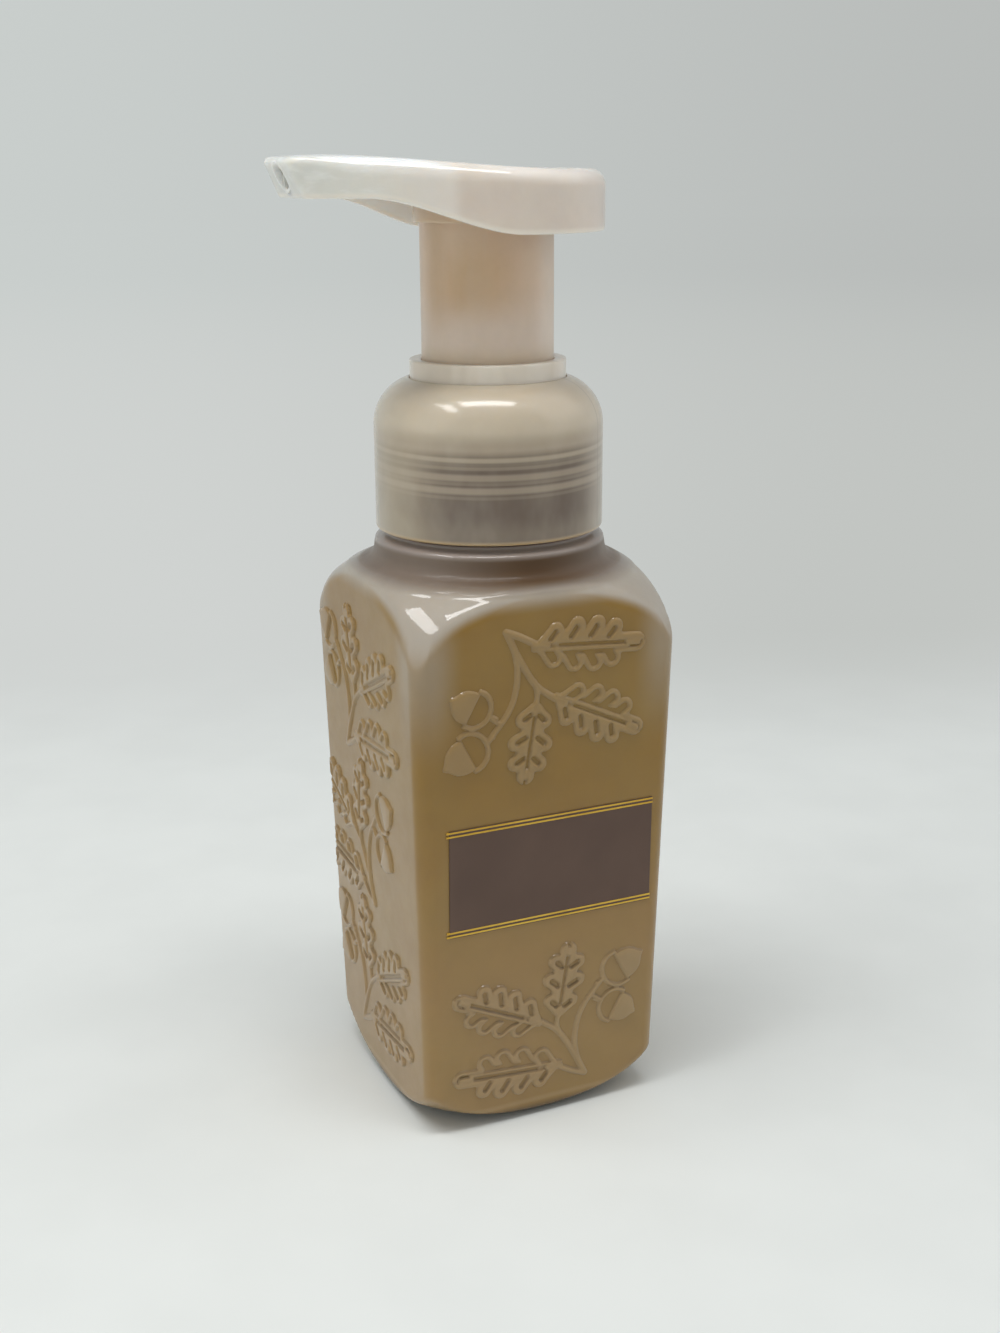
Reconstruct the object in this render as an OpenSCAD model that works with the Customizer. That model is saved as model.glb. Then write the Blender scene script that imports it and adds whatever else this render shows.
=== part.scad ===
// Foaming soap bottle: square blow-moulded bottle, screw closure and foam pump.
// Millimetres, +Z up, origin on the bottle's axis at the surface it stands on.
// The label face looks along -Y and the spout along -X.

/* [Bottle] */
// Width across the flat faces at the foot
base_w = 49.8; // [44:0.2:60]
// Width across the flat faces where the shoulder starts
bottle_w = 54.2; // [46:0.2:64]
// Height of the flat sides, up to the start of the shoulder
body_h = 92; // [70:1:120]
// Height of the shoulder, from the flat sides to the neck bead
shoulder_h = 24.2; // [21:0.2:30]
// Radius of the shoulder's swell
shoulder_r = 19; // [16:0.5:21]
// Radius of the four upright edges
corner_r = 3; // [2:0.2:6]
// Wall thickness of the body
wall = 1.2; // [0.8:0.1:1.8]
// Outer radius of the flat foot ring
foot_r = 18; // [15:0.5:20]
// Width of the flat foot ring
foot_w = 4; // [3:0.5:6]
// Height of the push-up under the base
push_up_h = 3; // [2:0.2:5]

/* [Neck and thread] */
// Outer diameter of the neck, below the thread crests
neck_od = 37.4; // [34:0.2:42]
// Wall thickness of the neck
neck_wall = 1.8; // [1.2:0.1:2.2]
// Height of the neck above its bead
neck_h = 17.8; // [16:0.2:24]
// How far the bead under the neck stands out from the neck
bead_out = 1.6; // [1:0.1:2]
// Rise of the thread in one turn
thread_pitch = 4.2; // [3.6:0.1:4.8]
// Height of the thread ridge
thread_h = 1.2; // [0.8:0.1:1.5]
// Turns of thread on the neck
thread_turns = 1.75; // [1:0.25:2]
// Height of the thread's start above the neck bead
thread_start = 5.2; // [4:0.1:6]

/* [Labels] */
// Width of the front label
label_w = 43; // [30:1:44]
// Height of the front label
label_h = 22; // [14:1:30]
// Height of the front label's middle
label_z = 54; // [40:1:60]
// Sideways place of the front label's middle
label_x = 1; // [-2:0.5:2]
// Width of the back label
back_label_w = 40; // [30:1:44]
// Height of the back label
back_label_h = 62; // [40:1:66]
// Thickness of both labels
label_t = 0.2; // [0.1:0.05:0.4]

/* [Closure] */
// Wall thickness of the collar
collar_wall = 1.7; // [1.4:0.1:2.2]
// Radius of the collar's domed shoulder
dome_r = 9.2; // [8:0.2:11]
// Thickness of the collar's dome and inner seat
collar_deck = 1.4; // [1:0.1:1.8]
// Rounding of the collar's lower edge
collar_edge = 0.6; // [0.3:0.1:0.9]
// Height of the guide ring's lip above the collar
lip_h = 3.4; // [2:0.2:5]

/* [Pump] */
// Stroke of the pump
stroke = 16; // [12:0.5:18]
// Outer diameter of the stem sleeve under the head
sleeve_od = 25.1; // [23:0.1:26]
// Wall thickness of the stem sleeve
sleeve_wall = 1; // [0.8:0.1:1.4]
// Length of sleeve that shows between the lip and the head, at rest
sleeve_show = 23.2; // [20:0.2:28]
// Inner radius of the air cylinder
air_r = 14.4; // [14:0.1:14.8]
// Wall thickness of the air cylinder
air_wall = 1.2; // [1:0.1:1.4]
// Height of the air cylinder above its flange
air_rise = 6.3; // [5.5:0.1:7]
// Outer radius of the piston stem
stem_r = 6; // [5.6:0.1:6.6]
// Inner radius of the piston stem
stem_bore_r = 4.4; // [4:0.1:4.6]
// Inner radius of the liquid cylinder
liquid_r = 5.3; // [5.1:0.1:5.6]
// Wall thickness of the liquid cylinder
liquid_wall = 1.2; // [1:0.1:1.5]
// Radius of both valve balls
ball_r = 2.4; // [2:0.1:2.6]
// How far each valve ball can lift
ball_lift = 1.2; // [0.8:0.1:1.5]
// Wire diameter of the return spring
spring_wire = 0.9; // [0.6:0.1:1]
// Turns of the return spring
spring_turns = 7; // [5:1:8]
// Outer radius of the dip tube
dip_r = 2.7; // [2.4:0.1:3]
// Wall thickness of the dip tube
dip_wall = 0.8; // [0.6:0.1:1]
// Height left between the dip tube and the floor of the bottle
dip_gap = 2.2; // [1.5:0.1:5]

/* [Head] */
// Radius of the round back of the head
head_r = 22; // [20:0.5:24]
// Height of the head at its back, from skirt edge to roof
head_h = 11.4; // [10.6:0.2:13]
// Reach of the nozzle's tip from the axis
nozzle_reach = 40.5; // [36:0.5:46]
// Half width of the nozzle at its tip
tip_half_w = 7.5; // [6:0.5:9]
// How far the roof climbs towards the nozzle
roof_rise = 2.3; // [1.5:0.1:3]
// How far the skirt edge climbs towards the nozzle
skirt_rise = 6.3; // [5:0.1:7]
// Wall thickness of the head
head_wall = 1.3; // [1:0.1:1.6]
// How far the stem reaches into the head, above the skirt's edge
stem_reach = 5.2; // [4.4:0.1:5.4]
// How far the sleeve reaches into the head, above the skirt's edge
sleeve_reach = 4.3; // [3:0.1:5]
// Height of the spout channel's start above the skirt's edge
spout_rise = 8.1; // [7.5:0.1:8.5]
// Outer radius of the spout channel
spout_r = 2.6; // [2.2:0.1:2.8]
// Wall thickness of the spout channel
spout_wall = 0.7; // [0.5:0.1:0.9]
// Upward tilt of the spout channel, in degrees
spout_tilt = 2.5; // [0:0.5:4]

/* [Clearances] */
// Radial clearance of a sliding or turning fit
running = 0.05; // [0.03:0.01:0.1]
// Clearance between pieces that do not touch
loose = 0.4; // [0.3:0.05:0.5]
// Gap between pieces that are seated on each other
seat = 0.02; // [0.01:0.01:0.05]
// Gap left at the ends of a stroke or of a ball's lift
end_gap = 0.1; // [0.1:0.05:0.3]

/* [Hidden] */
$fn = 96;
eps = 0.01;

// Bottle: the outline is a tapered square prism cut by a turned form
taper = (bottle_w - base_w) / body_h;
neck_z = body_h + shoulder_h;
neck_top = neck_z + neck_h;
neck_r = neck_od / 2;
neck_bore = neck_r - neck_wall;
bead_r = neck_r + bead_out;
corner_reach = sqrt(2) * (bottle_w / 2 - corner_r) + corner_r;
turned_r = corner_reach + 0.7;
swell_x = turned_r - shoulder_r;
base_curve_r = turned_r - foot_r;
floor_z = push_up_h + wall;

// Pump stack, from the neck's rim upwards
gasket_t = 1;
flange_z = neck_top + gasket_t;
flange_t = 1.2;
flange_top = flange_z + flange_t;
flange_r = neck_r - 0.1;
air_out = air_r + air_wall;
air_top = flange_top + air_rise;
collar_z = neck_z + loose;
thread_root = neck_r + thread_h + loose;
collar_r = thread_root + collar_wall;
dome_x = collar_r - dome_r;
ring_r = air_out - 0.7;
mouth_r = ring_r + 2 * running;
mouth_turn = acos((mouth_r - dome_x) / dome_r);
collar_top = flange_top + dome_r * sin(mouth_turn);
lip_top = collar_top + lip_h;
spigot_h = 1.8;
spigot_z = air_top - spigot_h;

// Pistons at rest, from the guide ring downwards
piston_top = spigot_z - 3 * end_gap;
rim_h = 3.8;
hub_h = 7.4;
hub_z = piston_top - hub_h;
hub_wall = 1.3;
web_z = piston_top - 1.9;
web_t = 1.2;
rim_in = air_r - 1.3;
air_hole_r = 0.8;
air_holes = 8;
air_hole_x = (stem_r + hub_wall + rim_in) / 2;
liquid_rise = 3.4;
liquid_top = hub_z - stroke - 6 * end_gap;
air_floor = liquid_top - liquid_rise;
air_floor_t = 1.2;
lip_part_h = 6;
lip_depth = 2;
liquid_piston_z = liquid_top - lip_depth - lip_part_h;
liquid_bore = 2.2;

// Return spring and inlet valve
spring_solid = spring_wire * (spring_turns + 1) + 2.4;
spring_z = liquid_piston_z - stroke - spring_solid;
spring_r = stem_bore_r - running - spring_wire / 2;
cage_h = 2.2;
cage_web = 0.7;
liquid_floor = spring_z - cage_h - seat;
seat_hole_r = ball_r * 0.7;
ball_up = sqrt(ball_r * ball_r - seat_hole_r * seat_hole_r) + 0.03;
ball_play = 0.6;
inlet_seat_z = liquid_floor + cage_h - cage_web - ball_lift - end_gap - ball_up - ball_r;
valve_web = 1.2;
socket_h = 9;
socket_top = inlet_seat_z - valve_web;
socket_z = socket_top - socket_h;
dip_top = socket_top - end_gap;

// Outlet valve, mixing chamber and mesh cartridge inside the stem
skirt_z = lip_top + sleeve_show;
stem_top = skirt_z + stem_reach;
outlet_rise = 10;
outlet_web = 2;
outlet_seat_z = piston_top + outlet_rise;
insert_z = outlet_seat_z + ball_up + ball_r + ball_lift + end_gap;
insert_h = 2.4;
insert_bore = 1.9;
mesh_t = 0.4;
holder_z = insert_z + insert_h + seat + mesh_t + seat;
holder_top = stem_top - 0.6 - mesh_t;
holder_r = stem_bore_r - running;
holder_bore = holder_r - 0.9;

// Head
sleeve_r = sleeve_od / 2;
sleeve_z = piston_top + 1.6;
sleeve_top = skirt_z + sleeve_reach;
roof_z = skirt_z + head_h;
boss_wall = 1.3;
boss_z = skirt_z + 1;
chamber_r = stem_bore_r + 0.6;
socket_wall = 1.1;
spout_z = skirt_z + spout_rise;
tip_slant = 3;
tip_x = nozzle_reach - tip_half_w / 5;
channel_start = chamber_r + 0.3;
spout_end = nozzle_reach - tip_slant / 2 - 0.8;

function arc(x, y, r, from, to, n = 24) =
    [for (i = [0 : n]) let (a = from + (to - from) * i / n) [x + r * cos(a), y + r * sin(a)]];
function smooth(t) = let (s = min(max(t, 0), 1)) s * s * (3 - 2 * s);
function half_w(z) = (base_w + taper * z) / 2;

// Radius of the hollow curve that joins the shoulder's swell to an upright wall at x
function flare_r(x, swell) =
    (pow(x - swell_x, 2) + pow(shoulder_h, 2) - swell * swell) / (2 * (swell - x + swell_x));

// Half section of the turned form, k inside the outer surface, ending at radius x
function turned(x, k) =
    let (swell = shoulder_r - k, f = flare_r(x, swell),
         turn = atan2(shoulder_h, x + f - swell_x))
    concat([[0, k]], arc(foot_r, base_curve_r, base_curve_r - k, -90, 0),
           arc(swell_x, body_h, swell, 0, turn), arc(x + f, neck_z, f, 180 + turn, 180),
           [[0, neck_z]]);

module tube(outer, inner, from, to) {
    translate([0, 0, from]) difference() {
        cylinder(r = outer, h = to - from);
        translate([0, 0, -1]) cylinder(r = inner, h = to - from + 2);
    }
}

module body_form(k, x) {
    intersection() {
        hull() {
            for (z = [k, neck_z], sx = [-1, 1], sy = [-1, 1]) {
                off = half_w(z) - corner_r;
                translate([sx * off, sy * off, z == k ? k : z - eps])
                    cylinder(r = corner_r - k, h = eps, $fn = 32);
            }
        }
        rotate_extrude() polygon(turned(x, k));
    }
}

// Ridge that winds up a wall. Its foot is sunk into the wall at radius root, and it runs out
// to nothing at both ends. out is 1 for a ridge outside the wall and -1 for one inside.
module thread(root, from, turns, out) {
    steps = round(turns * 36);
    sunk = root - out * 0.5;
    function ring(i) =
        let (a = i * 360 * turns / steps, lead = min(1, min(i, steps - i) / 5),
             crest = root + out * (thread_h * lead - 0.1 * (1 - lead)),
             z = from + thread_pitch * turns * i / steps, foot = 1.15, land = 0.5)
        [for (p = [[sunk, -foot], [crest, -land], [crest, land], [sunk, foot]])
            [p[0] * cos(a), p[0] * sin(a), z + p[1]]];
    points = [for (i = [0 : steps]) each ring(i)];
    sides = [for (i = [0 : steps - 1], j = [0 : 3])
        let (a = 4 * i + j, b = 4 * i + (j + 1) % 4) [a, b, b + 4, a + 4]];
    ends = [[3, 2, 1, 0], [for (j = [0 : 3]) 4 * steps + j]];
    faces = concat(sides, ends);
    tris = [for (f = faces) each [[f[0], f[1], f[2]], [f[0], f[2], f[3]]]];
    polyhedron(points, out > 0 ? tris : [for (t = tris) [t[2], t[1], t[0]]]);
}

module bottle() {
    color("tan") difference() {
        union() {
            body_form(0, bead_r);
            translate([0, 0, neck_z - 1]) cylinder(r = neck_r, h = neck_h + 1);
            thread(neck_r, neck_z + thread_start, thread_turns, 1);
        }
        difference() {
            body_form(wall, neck_bore);
            push_up(wall);
        }
        translate([0, 0, neck_z - 1]) cylinder(r = neck_bore, h = neck_h + 2);
        push_up(0);
    }
}

// Shallow dome under the base, k outside the dish that clears the table
module push_up(k) {
    dish_r = foot_r - foot_w;
    sphere_r = (dish_r * dish_r + push_up_h * push_up_h) / (2 * push_up_h);
    translate([0, 0, push_up_h - sphere_r]) sphere(r = sphere_r + k, $fn = 180);
}

// Flat film on a side face, which leans out with the taper
module label_film(w, h, x, z) {
    translate([x, -half_w(z) - seat, z]) rotate([atan(taper / 2), 0, 0])
        translate([-w / 2, -label_t, -h / 2]) cube([w, label_t, h]);
}

module front_label() {
    color("#624c44") label_film(label_w, label_h, label_x, label_z);
}

module back_label() {
    color("#cfc6b8") rotate([0, 0, 180]) label_film(back_label_w, back_label_h, 0, label_z);
}

module closure_collar() {
    inner = dome_r - collar_deck;
    color("#d2cabf") {
        rotate_extrude() polygon(concat(
            [[thread_root, collar_z]],
            arc(collar_r - collar_edge, collar_z + collar_edge, collar_edge, -90, 0, 6),
            arc(dome_x, flange_top, dome_r, 0, mouth_turn), [[mouth_r, collar_top - collar_deck]],
            arc(dome_x, flange_top, inner, acos((mouth_r + 1 - dome_x) / inner), 14),
            [[air_out + loose, flange_top + collar_deck], [air_out + loose, flange_top + seat],
             [thread_root, flange_top + seat]]));
        thread(thread_root, neck_z + thread_start - thread_pitch / 2, thread_turns, -1);
    }
}

module guide_ring() {
    bore = sleeve_r + running;
    color("#ddd6c8") {
        rotate_extrude() polygon([
            [bore, spigot_z], [air_r - running, spigot_z], [air_r - running, air_top + seat],
            [ring_r, air_top + seat], [ring_r, lip_top - 0.3], [ring_r - 0.3, lip_top],
            [bore + 0.5, lip_top], [bore, lip_top - 0.5]]);
    }
}

module neck_gasket() {
    color("#e8e8e4") tube(flange_r, air_out + running, neck_top + seat / 2, flange_z - seat / 2);
}

module pump_housing() {
    liquid_out = liquid_r + liquid_wall;
    socket_out = dip_r + 1.3;
    vent_r = 0.7;
    color("#e4e2dc") difference() {
        rotate_extrude() polygon([
            [0, socket_z], [socket_out, socket_z], [socket_out, inlet_seat_z - 1],
            [liquid_out, liquid_floor], [liquid_out, air_floor - air_floor_t],
            [air_out, air_floor], [air_out, flange_z], [flange_r, flange_z], [flange_r, flange_top],
            [air_out, flange_top], [air_out, air_top], [air_r, air_top], [air_r, air_floor],
            [liquid_out, air_floor], [liquid_out, liquid_top], [liquid_r, liquid_top],
            [liquid_r, liquid_floor], [0, liquid_floor]]);
        translate([0, 0, inlet_seat_z])
            cylinder(r = ball_r + ball_play, h = liquid_floor - inlet_seat_z + 1);
        translate([0, 0, socket_top - 1]) cylinder(r = seat_hole_r, h = valve_web + 2);
        translate([0, 0, socket_z - 1]) cylinder(r = dip_r + seat, h = socket_h + 1);
        translate([0, 0, flange_top + 1.5]) rotate([0, 90, 0]) cylinder(r = vent_r, h = air_out + 1);
    }
}

module dip_tube() {
    bottom = floor_z + dip_gap;
    color("#e9e9e6") difference() {
        tube(dip_r, dip_r - dip_wall, bottom, dip_top);
        translate([0, 0, bottom]) rotate([0, 40, 0])
            translate([-4 * dip_r, -2 * dip_r, -4 * dip_r]) cube([8 * dip_r, 4 * dip_r, 4 * dip_r]);
    }
}

module ball_cage() {
    top = liquid_floor + seat + cage_h;
    color("#d8d8d4") difference() {
        translate([0, 0, liquid_floor + seat]) cylinder(r = liquid_r - running, h = cage_h - seat);
        translate([0, 0, liquid_floor]) cylinder(r = ball_r + ball_play, h = cage_h - cage_web);
        for (a = [0 : 90 : 270]) rotate([0, 0, a])
            translate([1.9, 0, top - 2]) cylinder(r = 0.9, h = 3);
    }
}

module valve_ball(seat_z) {
    color("silver") translate([0, 0, seat_z + ball_up]) sphere(r = ball_r);
}

module inlet_ball() {
    valve_ball(inlet_seat_z);
}

module outlet_ball() {
    valve_ball(outlet_seat_z);
}

// Round wire wound in a helix, with a closed ring of points at every step
module return_spring() {
    low = spring_z + spring_wire / 2 + seat;
    high = liquid_piston_z - spring_wire / 2 - seat;
    per_turn = 16;
    sides = 8;
    steps = spring_turns * per_turn;
    function climb(t) = smooth(t * 1.16 - 0.08);
    points = [for (i = [0 : steps], j = [0 : sides - 1])
        let (a = i * 360 / per_turn, b = j * 360 / sides,
             r = spring_r + spring_wire / 2 * cos(b),
             z = low + (high - low) * climb(i / steps) + spring_wire / 2 * sin(b))
        [r * cos(a), r * sin(a), z]];
    tris = [for (i = [0 : steps - 1], j = [0 : sides - 1])
        let (a = i * sides + j, b = i * sides + (j + 1) % sides)
        each [[a, a + sides, b], [b, a + sides, b + sides]]];
    last = steps * sides;
    start_cap = [for (j = [1 : sides - 2]) [0, j, j + 1]];
    end_cap = [for (j = [1 : sides - 2]) [last, last + j + 1, last + j]];
    color("silver") polyhedron(points, concat(tris, start_cap, end_cap));
}

module liquid_piston() {
    lip_r = liquid_r - running;
    rod_r = stem_bore_r - running;
    rod_top = outlet_seat_z - outlet_web - seat;
    z = liquid_piston_z;
    color("#f0efe9") rotate_extrude() polygon([
        [liquid_bore, z], [lip_r - 0.4, z], [lip_r, z + 0.4], [lip_r, z + 1.4], [rod_r, z + 2.2],
        [rod_r, z + lip_part_h - 2], [lip_r, z + lip_part_h - 1.2], [lip_r, z + lip_part_h - 0.2],
        [lip_r - 0.4, z + lip_part_h], [rod_r, z + lip_part_h], [rod_r, rod_top],
        [liquid_bore, rod_top]]);
}

module piston_stem() {
    color("#d9c9b4") difference() {
        translate([0, 0, hub_z]) cylinder(r = stem_r, h = stem_top - hub_z);
        translate([0, 0, hub_z - 1]) cylinder(r = stem_bore_r, h = outlet_seat_z - outlet_web - hub_z + 1);
        translate([0, 0, outlet_seat_z - outlet_web - 1]) cylinder(r = seat_hole_r, h = outlet_web + 2);
        translate([0, 0, outlet_seat_z]) cylinder(r = stem_bore_r, h = stem_top - outlet_seat_z + 1);
    }
}

module air_piston() {
    hub_r = stem_r + hub_wall;
    rim_r = air_r - running;
    rim_z = piston_top - rim_h;
    color("#ecebe5") difference() {
        rotate_extrude() polygon([
            [stem_r + seat, hub_z], [hub_r, hub_z], [hub_r, web_z], [rim_in, web_z], [rim_in, rim_z],
            [rim_r - 0.4, rim_z], [rim_r, rim_z + 0.6], [rim_r, rim_z + 1.2], [rim_r - 0.5, rim_z + 1.6],
            [rim_r - 0.5, piston_top - 1.6], [rim_r, piston_top - 1.2], [rim_r, piston_top - 0.6],
            [rim_r - 0.4, piston_top], [rim_in, piston_top], [rim_in, web_z + web_t],
            [hub_r, web_z + web_t], [hub_r, piston_top], [stem_r + seat, piston_top]]);
        for (i = [0 : air_holes - 1]) rotate([0, 0, i * 360 / air_holes])
            translate([air_hole_x, 0, web_z - 1]) cylinder(r = air_hole_r, h = web_t + 2);
    }
}

module air_valve() {
    disc_t = 0.4;
    hub_r = stem_r + hub_wall + running;
    color("#dcdcda") {
        tube(hub_r + 1, hub_r, web_z - 1.8, web_z - seat);
        tube(rim_in - 0.3, hub_r + 0.8, web_z - seat - disc_t, web_z - seat);
    }
}

module mixing_insert() {
    jets = 4;
    color("#eceae2") difference() {
        tube(holder_r, insert_bore, insert_z, insert_z + insert_h);
        for (i = [0 : jets - 1]) rotate([0, 0, i * 360 / jets])
            translate([insert_bore + 0.6, -0.4, insert_z - 1]) cube([holder_r, 0.8, 1.8]);
    }
}

module mesh_holder() {
    color("#eeeeea") tube(holder_r, holder_bore, holder_z, holder_top);
}

// Woven screen: a disc with a grid of square openings inside a solid rim
module mesh_screen(z) {
    cell = 0.8;
    bar = 0.35;
    color("#c9c6bf") difference() {
        translate([0, 0, z]) cylinder(r = holder_r, h = mesh_t);
        for (x = [-3 : 3], y = [-3 : 3]) {
            if (norm([x, y]) * cell < holder_bore - cell / 2)
                translate([x * cell, y * cell, z + mesh_t / 2])
                    cube([cell - bar, cell - bar, 2 * mesh_t], center = true);
        }
    }
}

module lower_mesh() {
    mesh_screen(holder_z - mesh_t - seat);
}

module upper_mesh() {
    mesh_screen(holder_top + seat);
}

module stem_sleeve() {
    color("#d8b9a0") tube(sleeve_r, sleeve_r - sleeve_wall, sleeve_z, sleeve_top);
}

// Outline of the head from above, k inside the outer surface
function head_plan(k) =
    let (lean = asin((head_r - tip_half_w) / tip_x), far = 90 + lean)
    concat([[-tip_x - (tip_half_w - k) * sin(lean), -(tip_half_w - k) * cos(lean)]],
           arc(0, 0, head_r - k, -far, far, 48),
           [[-tip_x - (tip_half_w - k) * sin(lean), (tip_half_w - k) * cos(lean)]]);

function roof_at(x) = roof_z + roof_rise * smooth((8 - x) / 40);
function skirt_at(x) = skirt_z + skirt_rise * smooth((-2 - x) / 26);

// Side outline of the head, k inside the outer surface. open drops the lower edge for a cavity.
function head_side(k, open) =
    let (tip = nozzle_reach - k, back_r = 3, n = 16,
         span = function (i) -tip + (tip + head_r - k - back_r) * i / n)
    concat([for (i = [0 : n]) [span(i), roof_at(span(i)) - k]],
           arc(head_r - k - back_r, roof_z - k - back_r, back_r, 80, 0, 5),
           open ? [[head_r - k, skirt_z - 5], [-tip + tip_slant, skirt_z - 5]]
                : [for (i = [0 : n])
                      let (x = head_r - (head_r + tip - tip_slant) * i / n) [x, skirt_at(x)]]);

module head_form(k, open) {
    intersection() {
        translate([0, 0, skirt_z - 6]) linear_extrude(head_h + 12) polygon(head_plan(k));
        rotate([90, 0, 0]) translate([0, 0, -head_r - 1]) linear_extrude(2 * head_r + 2)
            polygon(head_side(k, open));
    }
}

// Places its children along the spout's axis, which starts on the stem's axis
module along_spout() {
    translate([0, 0, spout_z]) rotate([0, spout_tilt - 90, 0]) children();
}

module pump_head() {
    boss_r = stem_r + running + boss_wall;
    ring_in = sleeve_r + seat;
    color("#d6cfc8") difference() {
        union() {
            difference() {
                head_form(0, false);
                head_form(head_wall, true);
            }
            intersection() {
                head_form(0, false);
                union() {
                    tube(boss_r, stem_r + running, boss_z, roof_z);
                    tube(ring_in + socket_wall, ring_in, sleeve_top - 2.5, roof_z);
                    translate([0, 0, stem_top + running])
                        cylinder(r = boss_r, h = roof_z - stem_top - running);
                }
            }
        }
        translate([0, 0, stem_top - 1]) cylinder(r = chamber_r, h = roof_z - head_wall - stem_top + 1);
        along_spout() cylinder(r = spout_r + seat, h = nozzle_reach + 5);
    }
}

module spout_channel() {
    color("#e4dfd6") difference() {
        along_spout() translate([0, 0, channel_start]) cylinder(r = spout_r, h = spout_end - channel_start);
        along_spout() cylinder(r = spout_r - spout_wall, h = nozzle_reach + 5);
    }
}

bottle();
front_label();
back_label();
closure_collar();
guide_ring();
neck_gasket();
pump_housing();
dip_tube();
ball_cage();
inlet_ball();
return_spring();
liquid_piston();
piston_stem();
air_piston();
air_valve();
outlet_ball();
mixing_insert();
mesh_holder();
lower_mesh();
upper_mesh();
stem_sleeve();
spout_channel();
pump_head();
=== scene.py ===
import math
import bmesh
import bpy
import numpy as np
from mathutils import Matrix, Vector


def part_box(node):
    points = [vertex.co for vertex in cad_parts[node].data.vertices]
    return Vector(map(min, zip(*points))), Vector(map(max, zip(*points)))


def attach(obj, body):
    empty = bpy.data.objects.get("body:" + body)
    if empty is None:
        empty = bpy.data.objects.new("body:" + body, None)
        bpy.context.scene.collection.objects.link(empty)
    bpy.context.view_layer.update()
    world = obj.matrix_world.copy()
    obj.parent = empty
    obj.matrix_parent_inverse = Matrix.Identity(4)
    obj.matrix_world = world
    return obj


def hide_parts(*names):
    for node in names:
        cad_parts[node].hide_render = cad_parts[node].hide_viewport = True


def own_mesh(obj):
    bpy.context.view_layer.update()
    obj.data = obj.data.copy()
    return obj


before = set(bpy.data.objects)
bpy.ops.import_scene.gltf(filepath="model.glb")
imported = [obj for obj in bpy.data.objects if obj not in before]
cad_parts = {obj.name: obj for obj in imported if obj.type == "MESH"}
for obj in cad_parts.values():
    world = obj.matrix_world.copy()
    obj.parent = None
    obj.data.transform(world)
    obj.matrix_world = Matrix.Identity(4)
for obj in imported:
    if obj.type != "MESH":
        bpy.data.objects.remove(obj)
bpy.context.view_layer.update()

mm = 0.001


def boxOf(node):  # a CAD node's box in millimetres
    low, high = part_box(node)
    return [v / mm for v in low], [v / mm for v in high]


def paint(red, green, blue):  # a display colour as the linear one that shaders use
    def linear(value):
        value /= 255
        return value / 12.92 if value <= 0.04045 else ((value + 0.055) / 1.055) ** 2.4
    return (linear(red), linear(green), linear(blue), 1.0)


def arc(x, z, radius, start, end, count):
    turns = [math.radians(start + (end - start) * i / count) for i in range(count + 1)]
    return [(x + radius * math.cos(a), z + radius * math.sin(a)) for a in turns]


def ease(value):
    value = np.clip(value, 0, 1)
    return value * value * (3 - 2 * value)


def newGroup(name, inputs, outputs):
    group = bpy.data.node_groups.new(name, "ShaderNodeTree")
    for label, value in inputs.items():
        kind = "NodeSocketColor" if isinstance(value, tuple) else "NodeSocketFloat"
        socket = group.interface.new_socket(label, in_out="INPUT", socket_type=kind)
        socket.default_value = value
    for label, kind in outputs.items():
        group.interface.new_socket(label, in_out="OUTPUT", socket_type=kind)
    return group, group.nodes.new("NodeGroupInput"), group.nodes.new("NodeGroupOutput")


def feed(tree, socket, value):
    if isinstance(value, bpy.types.NodeSocket):
        tree.links.new(value, socket)
    else:
        socket.default_value = value


def compute(tree, operation, first, second=0.0, clamp=False):
    node = tree.nodes.new("ShaderNodeMath")
    node.operation = operation
    node.use_clamp = clamp
    feed(tree, node.inputs[0], first)
    feed(tree, node.inputs[1], second)
    return node.outputs[0]


def times(tree, first, *others):
    for other in others:
        first = compute(tree, "MULTIPLY", first, other)
    return first


def span(tree, value, low, high, toLow=0.0, toHigh=1.0):  # a soft step between two values
    node = tree.nodes.new("ShaderNodeMapRange")
    node.interpolation_type = "SMOOTHSTEP"
    feed(tree, node.inputs["Value"], value)
    for label, amount in zip(("From Min", "From Max", "To Min", "To Max"), (low, high, toLow, toHigh)):
        node.inputs[label].default_value = amount
    return node.outputs["Result"]


def blendColour(tree, factor, first, second, mode="MIX"):
    node = tree.nodes.new("ShaderNodeMix")
    node.data_type = "RGBA"
    node.blend_type = mode
    feed(tree, node.inputs[0], factor)
    feed(tree, node.inputs[6], first)
    feed(tree, node.inputs[7], second)
    return node.outputs[2]


def layered(tree, colour, *coats):  # each coat is a mask and the colour that it lays over the rest
    for mask, coat in coats:
        colour = blendColour(tree, mask, colour, coat)
    return colour


def objectPoint(tree):
    node = tree.nodes.new("ShaderNodeTexCoord")
    split = tree.nodes.new("ShaderNodeSeparateXYZ")
    tree.links.new(node.outputs["Object"], split.inputs[0])
    return node.outputs["Object"], split.outputs


def noise(tree, point, scale, detail=3.0, roughness=0.5, stretch=None):
    node = tree.nodes.new("ShaderNodeTexNoise")
    node.inputs["Scale"].default_value = scale
    node.inputs["Detail"].default_value = detail
    node.inputs["Roughness"].default_value = roughness
    if stretch:
        mapping = tree.nodes.new("ShaderNodeMapping")
        mapping.inputs["Scale"].default_value = stretch
        tree.links.new(point, mapping.inputs["Vector"])
        point = mapping.outputs[0]
    tree.links.new(point, node.inputs["Vector"])
    return node.outputs["Fac"]


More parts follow.
